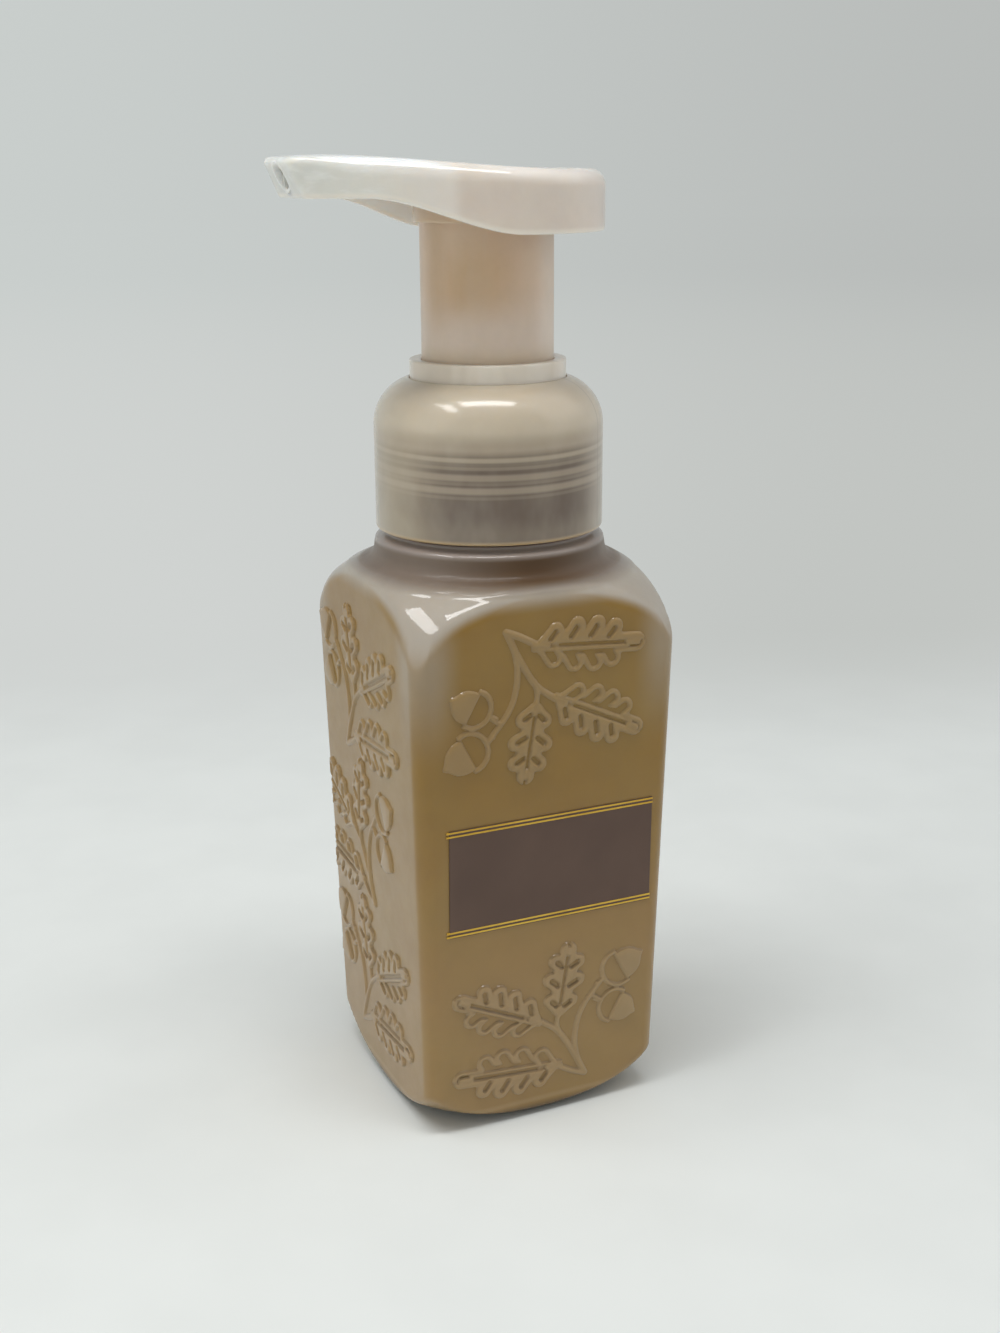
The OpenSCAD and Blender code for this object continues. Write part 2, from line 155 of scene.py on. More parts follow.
def makeMouldGrain():  # fine texture of a moulded plastic surface, with slow waves under it
    group, given, result = newGroup(
        "mouldGrain", {"Grain": 0.5, "Wave": 0.5, "Strength": 0.1},
        {"Normal": "NodeSocketVector", "Mottle": "NodeSocketFloat"})
    point, _ = objectPoint(group)
    fine = noise(group, point, 2600, 2)
    slow = noise(group, point, 70, 2)
    mottle = noise(group, point, 160, 4, 0.6)
    height = compute(group, "ADD", times(group, fine, given.outputs["Grain"]),
                     times(group, slow, given.outputs["Wave"]))
    bump = group.nodes.new("ShaderNodeBump")
    bump.inputs["Distance"].default_value = 0.0004
    group.links.new(given.outputs["Strength"], bump.inputs["Strength"])
    group.links.new(height, bump.inputs["Height"])
    group.links.new(bump.outputs[0], result.inputs["Normal"])
    group.links.new(mottle, result.inputs["Mottle"])
    return group


def makeTurnBand():  # a soft upright band around the axis: 1 in its middle, 0 outside
    group, given, result = newGroup(
        "turnBand", {"Turn": 0.0, "Half Width": 0.3}, {"Mask": "NodeSocketFloat"})
    _, axes = objectPoint(group)
    turn = compute(group, "ARCTAN2", axes[1], axes[0])
    away = compute(group, "WRAP", compute(group, "SUBTRACT", turn, given.outputs["Turn"]), math.pi)
    away.node.inputs[2].default_value = -math.pi  # the other end of the wrap
    share = compute(group, "DIVIDE", compute(group, "ABSOLUTE", away), given.outputs["Half Width"])
    group.links.new(span(group, share, 1.0, 0.0), result.inputs["Mask"])
    return group


def makeHeightBand():  # 1 between two heights, with soft edges
    group, given, result = newGroup(
        "heightBand", {"Bottom": 0.0, "Top": 0.01, "Soft": 0.001}, {"Mask": "NodeSocketFloat"})
    _, axes = objectPoint(group)
    edges = []
    for above, below in ((axes[2], given.outputs["Bottom"]), (given.outputs["Top"], axes[2])):
        away = compute(group, "DIVIDE", compute(group, "SUBTRACT", above, below), given.outputs["Soft"])
        edges.append(span(group, away, -0.5, 0.5))
    group.links.new(times(group, *edges), result.inputs["Mask"])
    return group


mouldGrain = makeMouldGrain()
turnBand = makeTurnBand()
heightBand = makeHeightBand()


def useGroup(tree, group, output, **values):
    node = tree.nodes.new("ShaderNodeGroup")
    node.node_tree = group
    for label, value in values.items():
        feed(tree, node.inputs[label.replace("_", " ")], value)
    return node.outputs[output]


def newMaterial(name, **sockets):
    material = bpy.data.materials.new(name)
    material.use_nodes = True
    shader = material.node_tree.nodes["Principled BSDF"]
    for label, value in sockets.items():
        shader.inputs[label.replace("_", " ")].default_value = value
    return material, material.node_tree, shader


def addGrain(tree, shader, grain, wave, strength):  # returns the mottle mask
    normal = useGroup(tree, mouldGrain, "Normal", Grain=grain, Wave=wave, Strength=strength)
    tree.links.new(normal, shader.inputs["Normal"])
    return normal.node.outputs["Mottle"]


def varied(tree, shader, colour, mottle, amount):  # base colour, a little darker in places
    darker = blendColour(tree, span(tree, mottle, 0.3, 0.7, 0.0, amount), colour, (0.05, 0.04, 0.03, 1))
    tree.links.new(darker, shader.inputs["Base Color"])


bottleFinish = {
    "amber": paint(139, 104, 34), "amberLow": paint(153, 121, 72), "cloud": paint(152, 126, 66),
    "foot": paint(92, 68, 28), "footEdgeHighlight": paint(176, 150, 110), "pearl": paint(168, 158, 144),
    "band": paint(84, 62, 40), "reflectionBandSide": paint(118, 104, 92), "neck": paint(146, 134, 126),
    "bead": paint(92, 56, 26), "relief": paint(186, 164, 138), "ledge": paint(92, 70, 40),
    "gloss": 0.75, "dullGloss": 0.12, "reliefPale": 0.22, "cornerPale": 0.5,
}


def makeBottleFinish(name, raised):
    tone = bottleFinish
    material, tree, shader = newMaterial(
        name, Roughness=0.42, Coat_Weight=tone["gloss"], Coat_Roughness=0.05, Specular_IOR_Level=0.2,
        Subsurface_Weight=0.15, Subsurface_Scale=0.003, Subsurface_Radius=(1.0, 0.7, 0.4))
    point, (x, y, z) = objectPoint(tree)
    mottle = addGrain(tree, shader, 0.12, 0.6, 0.08)
    cloud = noise(tree, point, 38, 2)
    colour = layered(tree, tone["amber"], (span(tree, z, 0.078, 0.022), tone["amberLow"]),
                     (span(tree, cloud, 0.35, 0.75, 0.0, 0.3), tone["cloud"]))
    normal = tree.nodes.new("ShaderNodeNewGeometry")
    tilt = tree.nodes.new("ShaderNodeSeparateXYZ")
    tree.links.new(normal.outputs["Normal"], tilt.inputs[0])
    upward = tilt.outputs[2]
    if raised:  # thick plastic looks paler, and low on the bottle its upward-facing edges get a painted dark reflection
        ledge = times(tree, span(tree, upward, 0.18, 0.6), span(tree, z, 0.062, 0.040), 0.45)
        colour = layered(tree, colour, (tone["reliefPale"], tone["relief"]), (ledge, tone["ledge"]))
    else:
        sideways = [compute(tree, "ABSOLUTE", axis) for axis in (x, y)]
        corner = times(tree, span(tree, compute(tree, "MINIMUM", *sideways), 0.017, 0.024),
                       span(tree, z, 0.076, 0.098, 0.0, tone["cornerPale"]))
        # pearl on the shoulder: the wall's own colour above the soap, partly a painted sheen on the
        # upward-facing surfaces
        shoulder = times(tree, span(tree, upward, 0.10, 0.55), span(tree, z, 0.093, 0.100))
        shoulder = compute(tree, "MAXIMUM", shoulder, span(tree, z, 0.105, 0.109))
        # the dark band round the shoulder is a painted dark reflection, partly the soap's brown showing
        # through, darkest on the front
        front = useGroup(tree, turnBand, "Mask", Turn=-1.6, Half_Width=1.0)
        band = blendColour(tree, front, tone["reflectionBandSide"], tone["band"])
        pearl = layered(tree, tone["pearl"], (span(tree, z, 0.1080, 0.1105), band),
                        (span(tree, z, 0.1136, 0.1150), tone["neck"]))
        # a painted highlight along the lit edge just above the foot
        rim = useGroup(tree, heightBand, "Mask", Bottom=0.0031, Top=0.0040, Soft=0.0008)
        colour = layered(
            tree, colour, (corner, tone["pearl"]), (shoulder, pearl),
            # painted shadow under the collar's rim, with the amber neck showing through
            (span(tree, z, 0.1157, 0.1164), tone["bead"]), (span(tree, z, 0.1172, 0.1186), tone["pearl"]),
            # the bottom few millimetres get painted shadow where the heel curves under, over the amber of
            # the soap
            (times(tree, rim, 0.35), tone["footEdgeHighlight"]), (span(tree, z, 0.0034, 0.0012), tone["foot"]))
        dull = useGroup(tree, heightBand, "Mask", Bottom=0.1098, Top=0.1140, Soft=0.0006)
        gloss = span(tree, dull, 0.0, 1.0, tone["gloss"], tone["dullGloss"])
        tree.links.new(gloss, shader.inputs["Coat Weight"])
    varied(tree, shader, colour, mottle, 0.06)
    tree.links.new(span(tree, mottle, 0.2, 0.8, 0.36, 0.48), shader.inputs["Roughness"])
    return material


headFinish = {
    "skirt": boxOf("pump_head")[0][2] * mm, "skirtRise": 0.0063, "outletRise": 0.0098,
    "pale": paint(216, 216, 210), "rosy": paint(230, 220, 212), "inner": paint(206, 192, 180),
    "streak": paint(240, 240, 236), "haze": paint(226, 216, 202), "socket": paint(206, 176, 148),
    "rim": paint(240, 228, 214), "bore": paint(248, 248, 244),
    "along": 0.928, "aslant": 0.372,  # direction that the tapered sides face
}


def makeHeadFinish():
    tone = headFinish
    material, tree, shader = newMaterial(
        "frostedPearlHead", Roughness=0.4, Coat_Weight=0.8, Coat_Roughness=0.07, Specular_IOR_Level=0.3,
        Subsurface_Weight=0.8, Subsurface_Scale=0.004, Subsurface_Radius=(1.0, 0.85, 0.7))
    point, (x, y, z) = objectPoint(tree)
    mottle = addGrain(tree, shader, 0.2, 1.0, 0.10)
    skirt = span(tree, x, -0.002, -0.028, tone["skirt"], tone["skirt"] + tone["skirtRise"])
    above = compute(tree, "SUBTRACT", z, skirt)
    inner = times(tree, span(tree, x, -0.0150, -0.0120), span(tree, x, 0.021, 0.017),
                  span(tree, above, 0.0110, 0.0085), 0.65)
    streak = noise(tree, point, 1, 3, 0.6, (60, 300, 420))  # lines inside the spout
    front = times(tree, span(tree, x, -0.020, -0.030), span(tree, streak, 0.45, 0.7), 0.6)
    haze = noise(tree, point, 110, 3)
    fromOutlet = compute(tree, "SUBTRACT", z, tone["skirt"] + tone["outletRise"])
    across, bore = (compute(tree, "SQRT", compute(tree, "ADD", times(tree, a, a), times(tree, b, b)))
                    for a, b in ((x, y), (y, fromOutlet)))
    reach = compute(tree, "ADD", times(tree, compute(tree, "ABSOLUTE", y), tone["along"]),
                    times(tree, x, -tone["aslant"]))
    # the head's inner walls and the outlet's bore are painted near white: painted light standing in for
    # light through the translucent plastic
    tapered = times(tree, span(tree, reach, 0.0216, 0.0212), span(tree, x, -0.0076, -0.0088))
    inside = compute(tree, "MAXIMUM", tapered, span(tree, across, 0.0216, 0.0212))
    inside = times(tree, inside, span(tree, above, 0.0090, 0.0075), span(tree, x, -0.0365, -0.0345))
    socket = times(tree, span(tree, across, 0.0142, 0.0139), span(tree, above, 0.0105, 0.0095))
    outlet = times(tree, span(tree, bore, 0.0032, 0.0027), span(tree, x, -0.028, -0.032), 0.8)
    colour = layered(
        tree, tone["pale"], (span(tree, x, -0.036, -0.008), tone["rosy"]), (inner, tone["inner"]),
        (front, tone["streak"]), (span(tree, haze, 0.35, 0.75, 0.0, 0.3), tone["haze"]),
        # a painted light line along the skirt's lower edge, where the translucent wall is seen end-on
        (inside, tone["bore"]), (span(tree, above, 0.0012, 0.0004, 0.0, 0.6), tone["rim"]),
        (socket, tone["socket"]), (outlet, tone["bore"]))
    varied(tree, shader, colour, mottle, 0.04)
    tree.links.new(span(tree, mottle, 0.2, 0.8, 0.32, 0.46), shader.inputs["Roughness"])
    return material


collarFinish = {
    "cream": paint(194, 180, 158), "light": paint(164, 150, 128), "dark": paint(92, 73, 60),
    "ring": paint(178, 162, 140), "belt": paint(180, 164, 142), "seam": paint(96, 82, 72),
    "rim": paint(190, 160, 118), "cloud": paint(206, 196, 178), "darkTurn": 1.75,
    # each inner ring: its height, half its width and how strongly it shows
    "rings": [(0.1331, 0.0004, 0.85), (0.1299, 0.0006, 0.6), (0.1275, 0.0006, 0.6),
              (0.1316, 0.0003, 0.3), (0.1288, 0.0003, 0.25), (0.1262, 0.0003, 0.2)],
    "seamTurns": (-0.785, 2.356),  # where the two halves of the mould met
}


def makeCollarFinish():
    tone = collarFinish
    material, tree, shader = newMaterial(
        "creamCollar", Roughness=0.4, Coat_Weight=1.0, Coat_Roughness=0.15, Specular_IOR_Level=0.3,
        Subsurface_Weight=0.3, Subsurface_Scale=0.003, Subsurface_Radius=(1.0, 0.75, 0.5))
    point, (x, y, z) = objectPoint(tree)
    mottle = addGrain(tree, shader, 0.15, 0.3, 0.06)
    turn = compute(tree, "ARCTAN2", y, x)
    climb = times(tree, compute(tree, "SINE", compute(tree, "ADD", turn, 0.42)), -0.0007)
    height = compute(tree, "ADD", z, climb)  # the rings climb a little around the wall
    lobes = compute(tree, "COSINE", times(tree, compute(tree, "ADD", turn, tone["darkTurn"]), 2.0))
    streak = noise(tree, point, 1, 3, 0.6, (90, 90, 6))
    depth = compute(tree, "ADD", span(tree, lobes, -0.9, 0.7, 0.0, 0.9),
                    span(tree, streak, 0.2, 0.8, -0.05, 0.05))
    depth = compute(tree, "SUBTRACT", depth, span(tree, z, 0.1225, 0.1180, 0.0, 0.25), True)
    colour = layered(
        tree, tone["light"], (depth, tone["dark"]),
        (span(tree, height, 0.1306, 0.1326, 0.0, 0.35), tone["light"]),
        (span(tree, height, 0.1334, 0.1350, 0.0, 0.8), tone["belt"]),
        (span(tree, height, 0.1355, 0.1385), tone["cream"]))
    for middle, half, share in tone["rings"]:
        away = compute(tree, "ABSOLUTE", compute(tree, "SUBTRACT", height, middle))
        ring = times(tree, span(tree, away, half * 1.6, half * 0.4), share)
        colour = blendColour(tree, ring, colour, tone["ring"])
    seams = [useGroup(tree, turnBand, "Mask", Turn=way, Half_Width=0.014) for way in tone["seamTurns"]]
    cloud = noise(tree, point, 1, 3, 0.6, (110, 110, 60))
    colour = layered(
        tree, colour, (times(tree, compute(tree, "MAXIMUM", *seams), 0.4), tone["seam"]),
        # a painted warm highlight along the collar's bottom bevel
        (span(tree, z, 0.1176, 0.1168), tone["rim"]),
        (span(tree, cloud, 0.35, 0.8, 0.0, 0.18), tone["cloud"]))
    varied(tree, shader, colour, mottle, 0.05)
    return material


def makeRingFinish():
    material, tree, shader = newMaterial(
        "clearCreamRing", Roughness=0.36, Coat_Weight=0.7, Coat_Roughness=0.08, Specular_IOR_Level=0.3,
        Subsurface_Weight=0.35, Subsurface_Scale=0.003, Subsurface_Radius=(1.0, 0.8, 0.6))
    point, _ = objectPoint(tree)
    mottle = addGrain(tree, shader, 0.2, 0.5, 0.08)
    patch = noise(tree, point, 1, 2, 0.5, (120, 120, 20))
    colour = blendColour(tree, span(tree, patch, 0.4, 0.6), paint(228, 218, 204), paint(216, 203, 186))
    varied(tree, shader, colour, mottle, 0.05)
    return material


sleeveFinish = {
    "body": paint(220, 188, 162), "foot": paint(224, 200, 182), "stain": paint(204, 166, 124),
    "left": paint(204, 170, 138), "edge": paint(232, 214, 200), "soap": paint(212, 188, 154),
    "streak": paint(212, 190, 168),
    # each upright band: its direction and half its width
    "bands": {"left": (-2.84, 0.34), "stain": (-2.24, 0.95), "edge": (-0.90, 0.5)},
}


def makeSleeveFinish():
    tone = sleeveFinish
    material, tree, shader = newMaterial(
        "peachSleeve", Roughness=0.42, Coat_Weight=0.45, Coat_Roughness=0.15, Specular_IOR_Level=0.3,
        Subsurface_Weight=0.4, Subsurface_Scale=0.004, Subsurface_Radius=(1.0, 0.75, 0.5))
    point, (_, _, z) = objectPoint(tree)
    mottle = addGrain(tree, shader, 0.15, 0.4, 0.06)
    band = {key: useGroup(tree, turnBand, "Mask", Turn=turn, Half_Width=half)
            for key, (turn, half) in tone["bands"].items()}
    left = times(tree, band["left"], span(tree, z, 0.151, 0.163))
    wander = span(tree, noise(tree, point, 130, 2), 0.3, 0.7, 0.75, 1.0)
    stain = times(tree, band["stain"], wander, span(tree, z, 0.1545, 0.1620),
                  span(tree, z, 0.1720, 0.1640, 0.35, 1.0))
    streak = noise(tree, point, 1, 3, 0.6, (160, 160, 14))
    colour = layered(
        tree, tone["body"], (span(tree, z, 0.163, 0.153), tone["foot"]), (left, tone["left"]),
        (stain, tone["stain"]), (times(tree, band["edge"], 0.5), tone["edge"]),
        (span(tree, z, 0.1525, 0.1488, 0.0, 0.45), tone["soap"]),
        (span(tree, streak, 0.35, 0.7, 0.0, 0.3), tone["streak"]))
    varied(tree, shader, colour, mottle, 0.05)
    return material


def makeLabelFinish(name, light, dark, roughness):
    material, tree, shader = newMaterial(name, Roughness=roughness, Specular_IOR_Level=0.35)
    point, _ = objectPoint(tree)
    mottle = addGrain(tree, shader, 0.3, 0.1, 0.04)
    grain = noise(tree, point, 60, 3)
    colour = blendColour(tree, span(tree, grain, 0.3, 0.7), dark, light)
    varied(tree, shader, colour, mottle, 0.05)
    return material


def makeGoldFinish():
    material, tree, shader = newMaterial("goldFoil", Metallic=0.4, Roughness=0.4)
    point, _ = objectPoint(tree)
    mottle = addGrain(tree, shader, 0.4, 0.4, 0.15)
    grain = noise(tree, point, 90, 3)
    colour = blendColour(tree, span(tree, grain, 0.3, 0.7), paint(206, 160, 50), paint(224, 184, 70))
    varied(tree, shader, colour, mottle, 0.1)
    tree.links.new(span(tree, mottle, 0.3, 0.7, 0.3, 0.5), shader.inputs["Roughness"])
    return material


def makePlasticFinish(name, colour, shade, roughness, scatter):
    material, tree, shader = newMaterial(
        name, Roughness=roughness, Coat_Weight=0.2, Coat_Roughness=0.25,
        Subsurface_Weight=scatter, Subsurface_Scale=0.002, Subsurface_Radius=(1.0, 0.9, 0.8))
    point, _ = objectPoint(tree)
    mottle = addGrain(tree, shader, 0.5, 0.3, 0.12)
    flow = noise(tree, point, 220, 3, 0.6, (1, 1, 0.3))
    varied(tree, shader, blendColour(tree, span(tree, flow, 0.3, 0.7), colour, shade), mottle, 0.06)
    return material


def makeSteelFinish(name, stretch):
    material, tree, shader = newMaterial(name, Metallic=1.0, Roughness=0.22)
    point, _ = objectPoint(tree)
    addGrain(tree, shader, 0.6, 0.1, 0.10)
    draw = noise(tree, point, 500, 3, 0.6, stretch)
    colour = blendColour(tree, span(tree, draw, 0.3, 0.7), paint(196, 198, 200), paint(158, 160, 164))
    tree.links.new(colour, shader.inputs["Base Color"])
    tree.links.new(span(tree, draw, 0.3, 0.7, 0.16, 0.34), shader.inputs["Roughness"])
    return material


def makeWeaveFinish():  # fine nylon threads on the two screens
    material, tree, shader = newMaterial("wovenScreen", Roughness=0.55)
    point, _ = objectPoint(tree)
    mottle = addGrain(tree, shader, 0.5, 0.2, 0.15)
    masks = []
    for direction in ("X", "Y"):
        wave = tree.nodes.new("ShaderNodeTexWave")
        wave.bands_direction = direction
        wave.inputs["Scale"].default_value = 900
        tree.links.new(point, wave.inputs["Vector"])
        masks.append(wave.outputs["Fac"])
    colour = blendColour(tree, times(tree, *masks), paint(176, 172, 162), paint(224, 222, 214))
    varied(tree, shader, colour, mottle, 0.08)
    return material


bottleMaterial = makeBottleFinish("pearlAmberBottle", False)
reliefMaterial = makeBottleFinish("pearlAmberRelief", True)
headMaterial, collarMaterial = makeHeadFinish(), makeCollarFinish()
ringMaterial, sleeveMaterial = makeRingFinish(), makeSleeveFinish()
goldMaterial, wireMaterial = makeGoldFinish(), makeSteelFinish("drawnWire", (0.2, 0.2, 1))
naturalPlastic = makePlasticFinish(
    "naturalPlastic", paint(226, 224, 216), paint(208, 206, 196), 0.4, 0.3)
pistonPlastic = makePlasticFinish("waxyPiston", paint(236, 232, 220), paint(220, 212, 196), 0.32, 0.35)
stemPlastic = makePlasticFinish("stemPlastic", paint(214, 196, 172), paint(196, 174, 148), 0.38, 0.3)
innerFinishes = {
    "front_label": makeLabelFinish("taupeLabel", paint(98, 76, 64), paint(90, 69, 58), 0.42),
    "back_label": makeLabelFinish("paleLabel", paint(204, 196, 182), paint(199, 191, 177), 0.5),
    "neck_gasket": makePlasticFinish("foamGasket", paint(228, 228, 222), paint(196, 196, 190), 0.8, 0.2),
    "pump_housing": naturalPlastic, "ball_cage": naturalPlastic, "mixing_insert": naturalPlastic,
    "dip_tube": makePlasticFinish("milkyTube", paint(222, 224, 220), paint(204, 206, 200), 0.25, 0.5),
    "liquid_piston": pistonPlastic, "air_piston": pistonPlastic, "mesh_holder": pistonPlastic,
    "air_valve": makePlasticFinish("softValve", paint(216, 216, 212), paint(190, 190, 184), 0.5, 0.2),
    "piston_stem": stemPlastic,
    "spout_channel": makePlasticFinish(
        "spoutPlastic", paint(246, 243, 236), paint(238, 234, 226), 0.3, 0.6),
    "inlet_ball": makeSteelFinish("polishedBall", (1, 1, 1)),
}
innerFinishes["outlet_ball"] = innerFinishes["inlet_ball"]
innerFinishes["lower_mesh"] = innerFinishes["upper_mesh"] = makeWeaveFinish()
print("materials made")


def newObject(name, data):
    made = bpy.data.objects.new(name, data)
    bpy.context.scene.collection.objects.link(made)
    return made


def meshFrom(bm, name):
    mesh = bpy.data.meshes.new(name)
    bm.to_mesh(mesh)
    bm.free()
    return mesh


for node, material in innerFinishes.items():
    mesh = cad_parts[node].data
    mesh.materials.clear()
    mesh.materials.append(material)


def finishPiece(name, bm, material, body, stands=(), sharpAngle=40, merge=0.002):
    bmesh.ops.remove_doubles(bm, verts=bm.verts, dist=merge)
    bmesh.ops.recalc_face_normals(bm, faces=bm.faces)
    bmesh.ops.scale(bm, vec=(mm, mm, mm), verts=bm.verts)
    mesh = meshFrom(bm, name)
    mesh.shade_smooth()
    mesh.set_sharp_from_angle(angle=math.radians(sharpAngle))
    mesh.materials.append(material)
    piece = newObject(name, mesh)
    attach(piece, body)
    if stands:
        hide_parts(*stands)
    print(name, "made,", len(mesh.polygons), "faces")
    return piece


def addTurned(bm, outline, steps):  # a closed outline of radius and height, spun round the axis
    verts = [bm.verts.new((radius, 0, height)) for radius, height in outline]
    edges = [bm.edges.new(pair) for pair in zip(verts, verts[1:] + verts[:1])]
    bmesh.ops.spin(bm, geom=verts + edges, cent=(0, 0, 0), axis=(0, 0, 1), dvec=(0, 0, 0),
                   angle=math.tau, steps=steps, use_merge=True)


def addThread(bm, root, outward, start, thread):  # a ridge that climbs a wall and runs out at its ends
    steps = round(thread["turns"] * 60)
    rise = thread["pitch"] * thread["turns"]
    crest = root + outward * thread["height"]
    sunk = root - outward * thread["sunk"]
    wide, narrow = thread["rootHalf"], thread["crestHalf"]
    profile = [(sunk, -wide), (crest, -narrow), (crest, narrow), (sunk, wide)]
    verts = [bm.verts.new((radius, 0, start + height)) for radius, height in profile]
    edges = [bm.edges.new(pair) for pair in zip(verts, verts[1:] + verts[:1])]
    known = set(bm.verts) - set(verts)
    bmesh.ops.spin(bm, geom=verts + edges, cent=(0, 0, 0), axis=(0, 0, 1),
                   angle=math.tau * thread["turns"], dvec=(0, 0, rise / steps), steps=steps)
    made = [v for v in bm.verts if v not in known]
    ends = list({e for v in made for e in v.link_edges if e.is_boundary})
    bmesh.ops.holes_fill(bm, edges=ends, sides=4)
    for vert in made:
        across = math.hypot(vert.co.x, vert.co.y)
        along = (vert.co.z - start) / rise
        lead = min(1.0, 8 * min(max(along, 0.0), max(1 - along, 0.0)))
        if abs(across - crest) < 0.01:
            vert.co.xy *= (root + outward * (thread["height"] * lead - 0.1 * (1 - lead))) / across


def movedGrid(bm, rows):  # a grid whose corners take their places from rows of points
    count = [len(rows) - 1, len(rows[0]) - 1]
    places = {}
    for vert in bmesh.ops.create_grid(bm, x_segments=count[1], y_segments=count[0], size=1)["verts"]:
        column = round((vert.co.x + 1) / 2 * count[1])
        row = round((vert.co.y + 1) / 2 * count[0])
        vert.co = rows[row][column]
        places[vert] = (row, column)
    return places


bottleTop = boxOf("bottle")[1][2]
bottleShape = {
    "footWidth": 49.8, "shoulderWidth": 54.2, "bodyHeight": 92, "shoulderHeight": 24.2,
    "shoulderRadius": 19, "corner": 3, "turnedRadius": 37.78, "footRadius": 18, "dishRadius": 14,
    "dishHeight": 3, "wall": 1.2, "neckRadius": 18.7, "neckWall": 1.8, "beadRadius": 20.3,
    "shoulderSoftness": 5.2, "footSoftness": 1.8, "flatColumns": 16, "cornerColumns": 6,
    # each ridge round the shoulder: its height, how far it stands out, and its reach above and below
    "ridges": [(114.5, 1.7, 1.3, 5.0), (109.0, 0.45, 2.0, 1.0)],
}
thread = {"pitch": 4.2, "height": 1.2, "turns": 1.75, "start": 5.2, "sunk": 0.5, "rootHalf": 1.15,
          "crestHalf": 0.5}
neckHeight = bottleShape["bodyHeight"] + bottleShape["shoulderHeight"]
swellRadius, footRadius = bottleShape["shoulderRadius"], bottleShape["footRadius"]
swellCentre = bottleShape["turnedRadius"] - swellRadius
footCurve = bottleShape["turnedRadius"] - footRadius


def halfWidth(height):
    spread = (bottleShape["shoulderWidth"] - bottleShape["footWidth"]) / bottleShape["bodyHeight"]
    return (bottleShape["footWidth"] + spread * height) / 2


def squareReach(turn, half, corner):  # from the axis to a rounded square, along each direction
    fold = np.abs((turn + math.pi / 4) % (math.pi / 2) - math.pi / 4)
    diagonal = math.sqrt(2) * (half - corner)
    away = math.pi / 4 - fold
    bend = np.sqrt(np.maximum(corner ** 2 - (diagonal * np.sin(away)) ** 2, 0))
    curved = diagonal * np.cos(away) + bend
    return np.where(half * np.tan(fold) <= half - corner, half / np.cos(fold), curved)


def turnedAt(height):  # radius of the turned form that rounds the foot and the shoulder
    foot = np.clip(footCurve - height, 0, footCurve)
    top = np.clip(height - bottleShape["bodyHeight"], 0, swellRadius)
    return np.minimum(footRadius + np.sqrt(footCurve ** 2 - foot ** 2),
                      swellCentre + np.sqrt(swellRadius ** 2 - top ** 2))


def bodyRadius(turn, height, turned, inset=0.0):  # the square sides and the turned form, softly joined
    reach = squareReach(turn, halfWidth(height) - inset, bottleShape["corner"] - inset)
    upper = np.asarray(height) > bottleShape["bodyHeight"] / 2
    centre = np.where(upper, swellCentre, footRadius)
    swell = np.where(upper, swellRadius, footCurve)
    soft = np.where(upper, bottleShape["shoulderSoftness"], bottleShape["footSoftness"])
    blend = np.maximum(soft * (1 - np.clip((reach - centre) / swell, -1, 1) ** 2), 1e-6)
    return softJoin(reach, turned, blend)


def softJoin(first, second, fillet):  # the smaller of two distances, with a fillet where they meet
    overlap = np.maximum(fillet - np.abs(first - second), 0)
    return np.minimum(first, second) - overlap ** 2 / (4 * fillet)


def columnTurns():  # directions round the bottle, closer together at its upright edges
    half, corner = halfWidth(bottleShape["bodyHeight"] / 2), bottleShape["corner"]
    flat, columns, bends = half - corner, bottleShape["flatColumns"], bottleShape["cornerColumns"]
    eighth = [math.atan2(flat * i / columns, half) for i in range(columns)]
    for bend in (math.pi / 4 * i / bends for i in range(bends)):
        eighth.append(math.atan2(flat + corner * math.sin(bend), flat + corner * math.cos(bend)))
    quarter = eighth + [math.pi / 2 - turn for turn in [math.pi / 4] + eighth[:0:-1]]
    return np.array([turn + math.pi / 2 * k for k in range(4) for turn in quarter] + [math.tau])


def shoulderOutline(inset, reach, counts):  # outer or inner shoulder, from the sides to the neck
    swell = swellRadius - inset
    rise = bottleShape["shoulderHeight"]
    flare = ((reach - swellCentre) ** 2 + rise ** 2 - swell ** 2) / (2 * (swell - reach + swellCentre))
    turn = math.degrees(math.atan2(rise, reach + flare - swellCentre))
    return (arc(swellCentre, bottleShape["bodyHeight"], swell, 0, turn, counts[0])
            + arc(reach + flare, neckHeight, flare, 180 + turn, 180, counts[1])[1:])


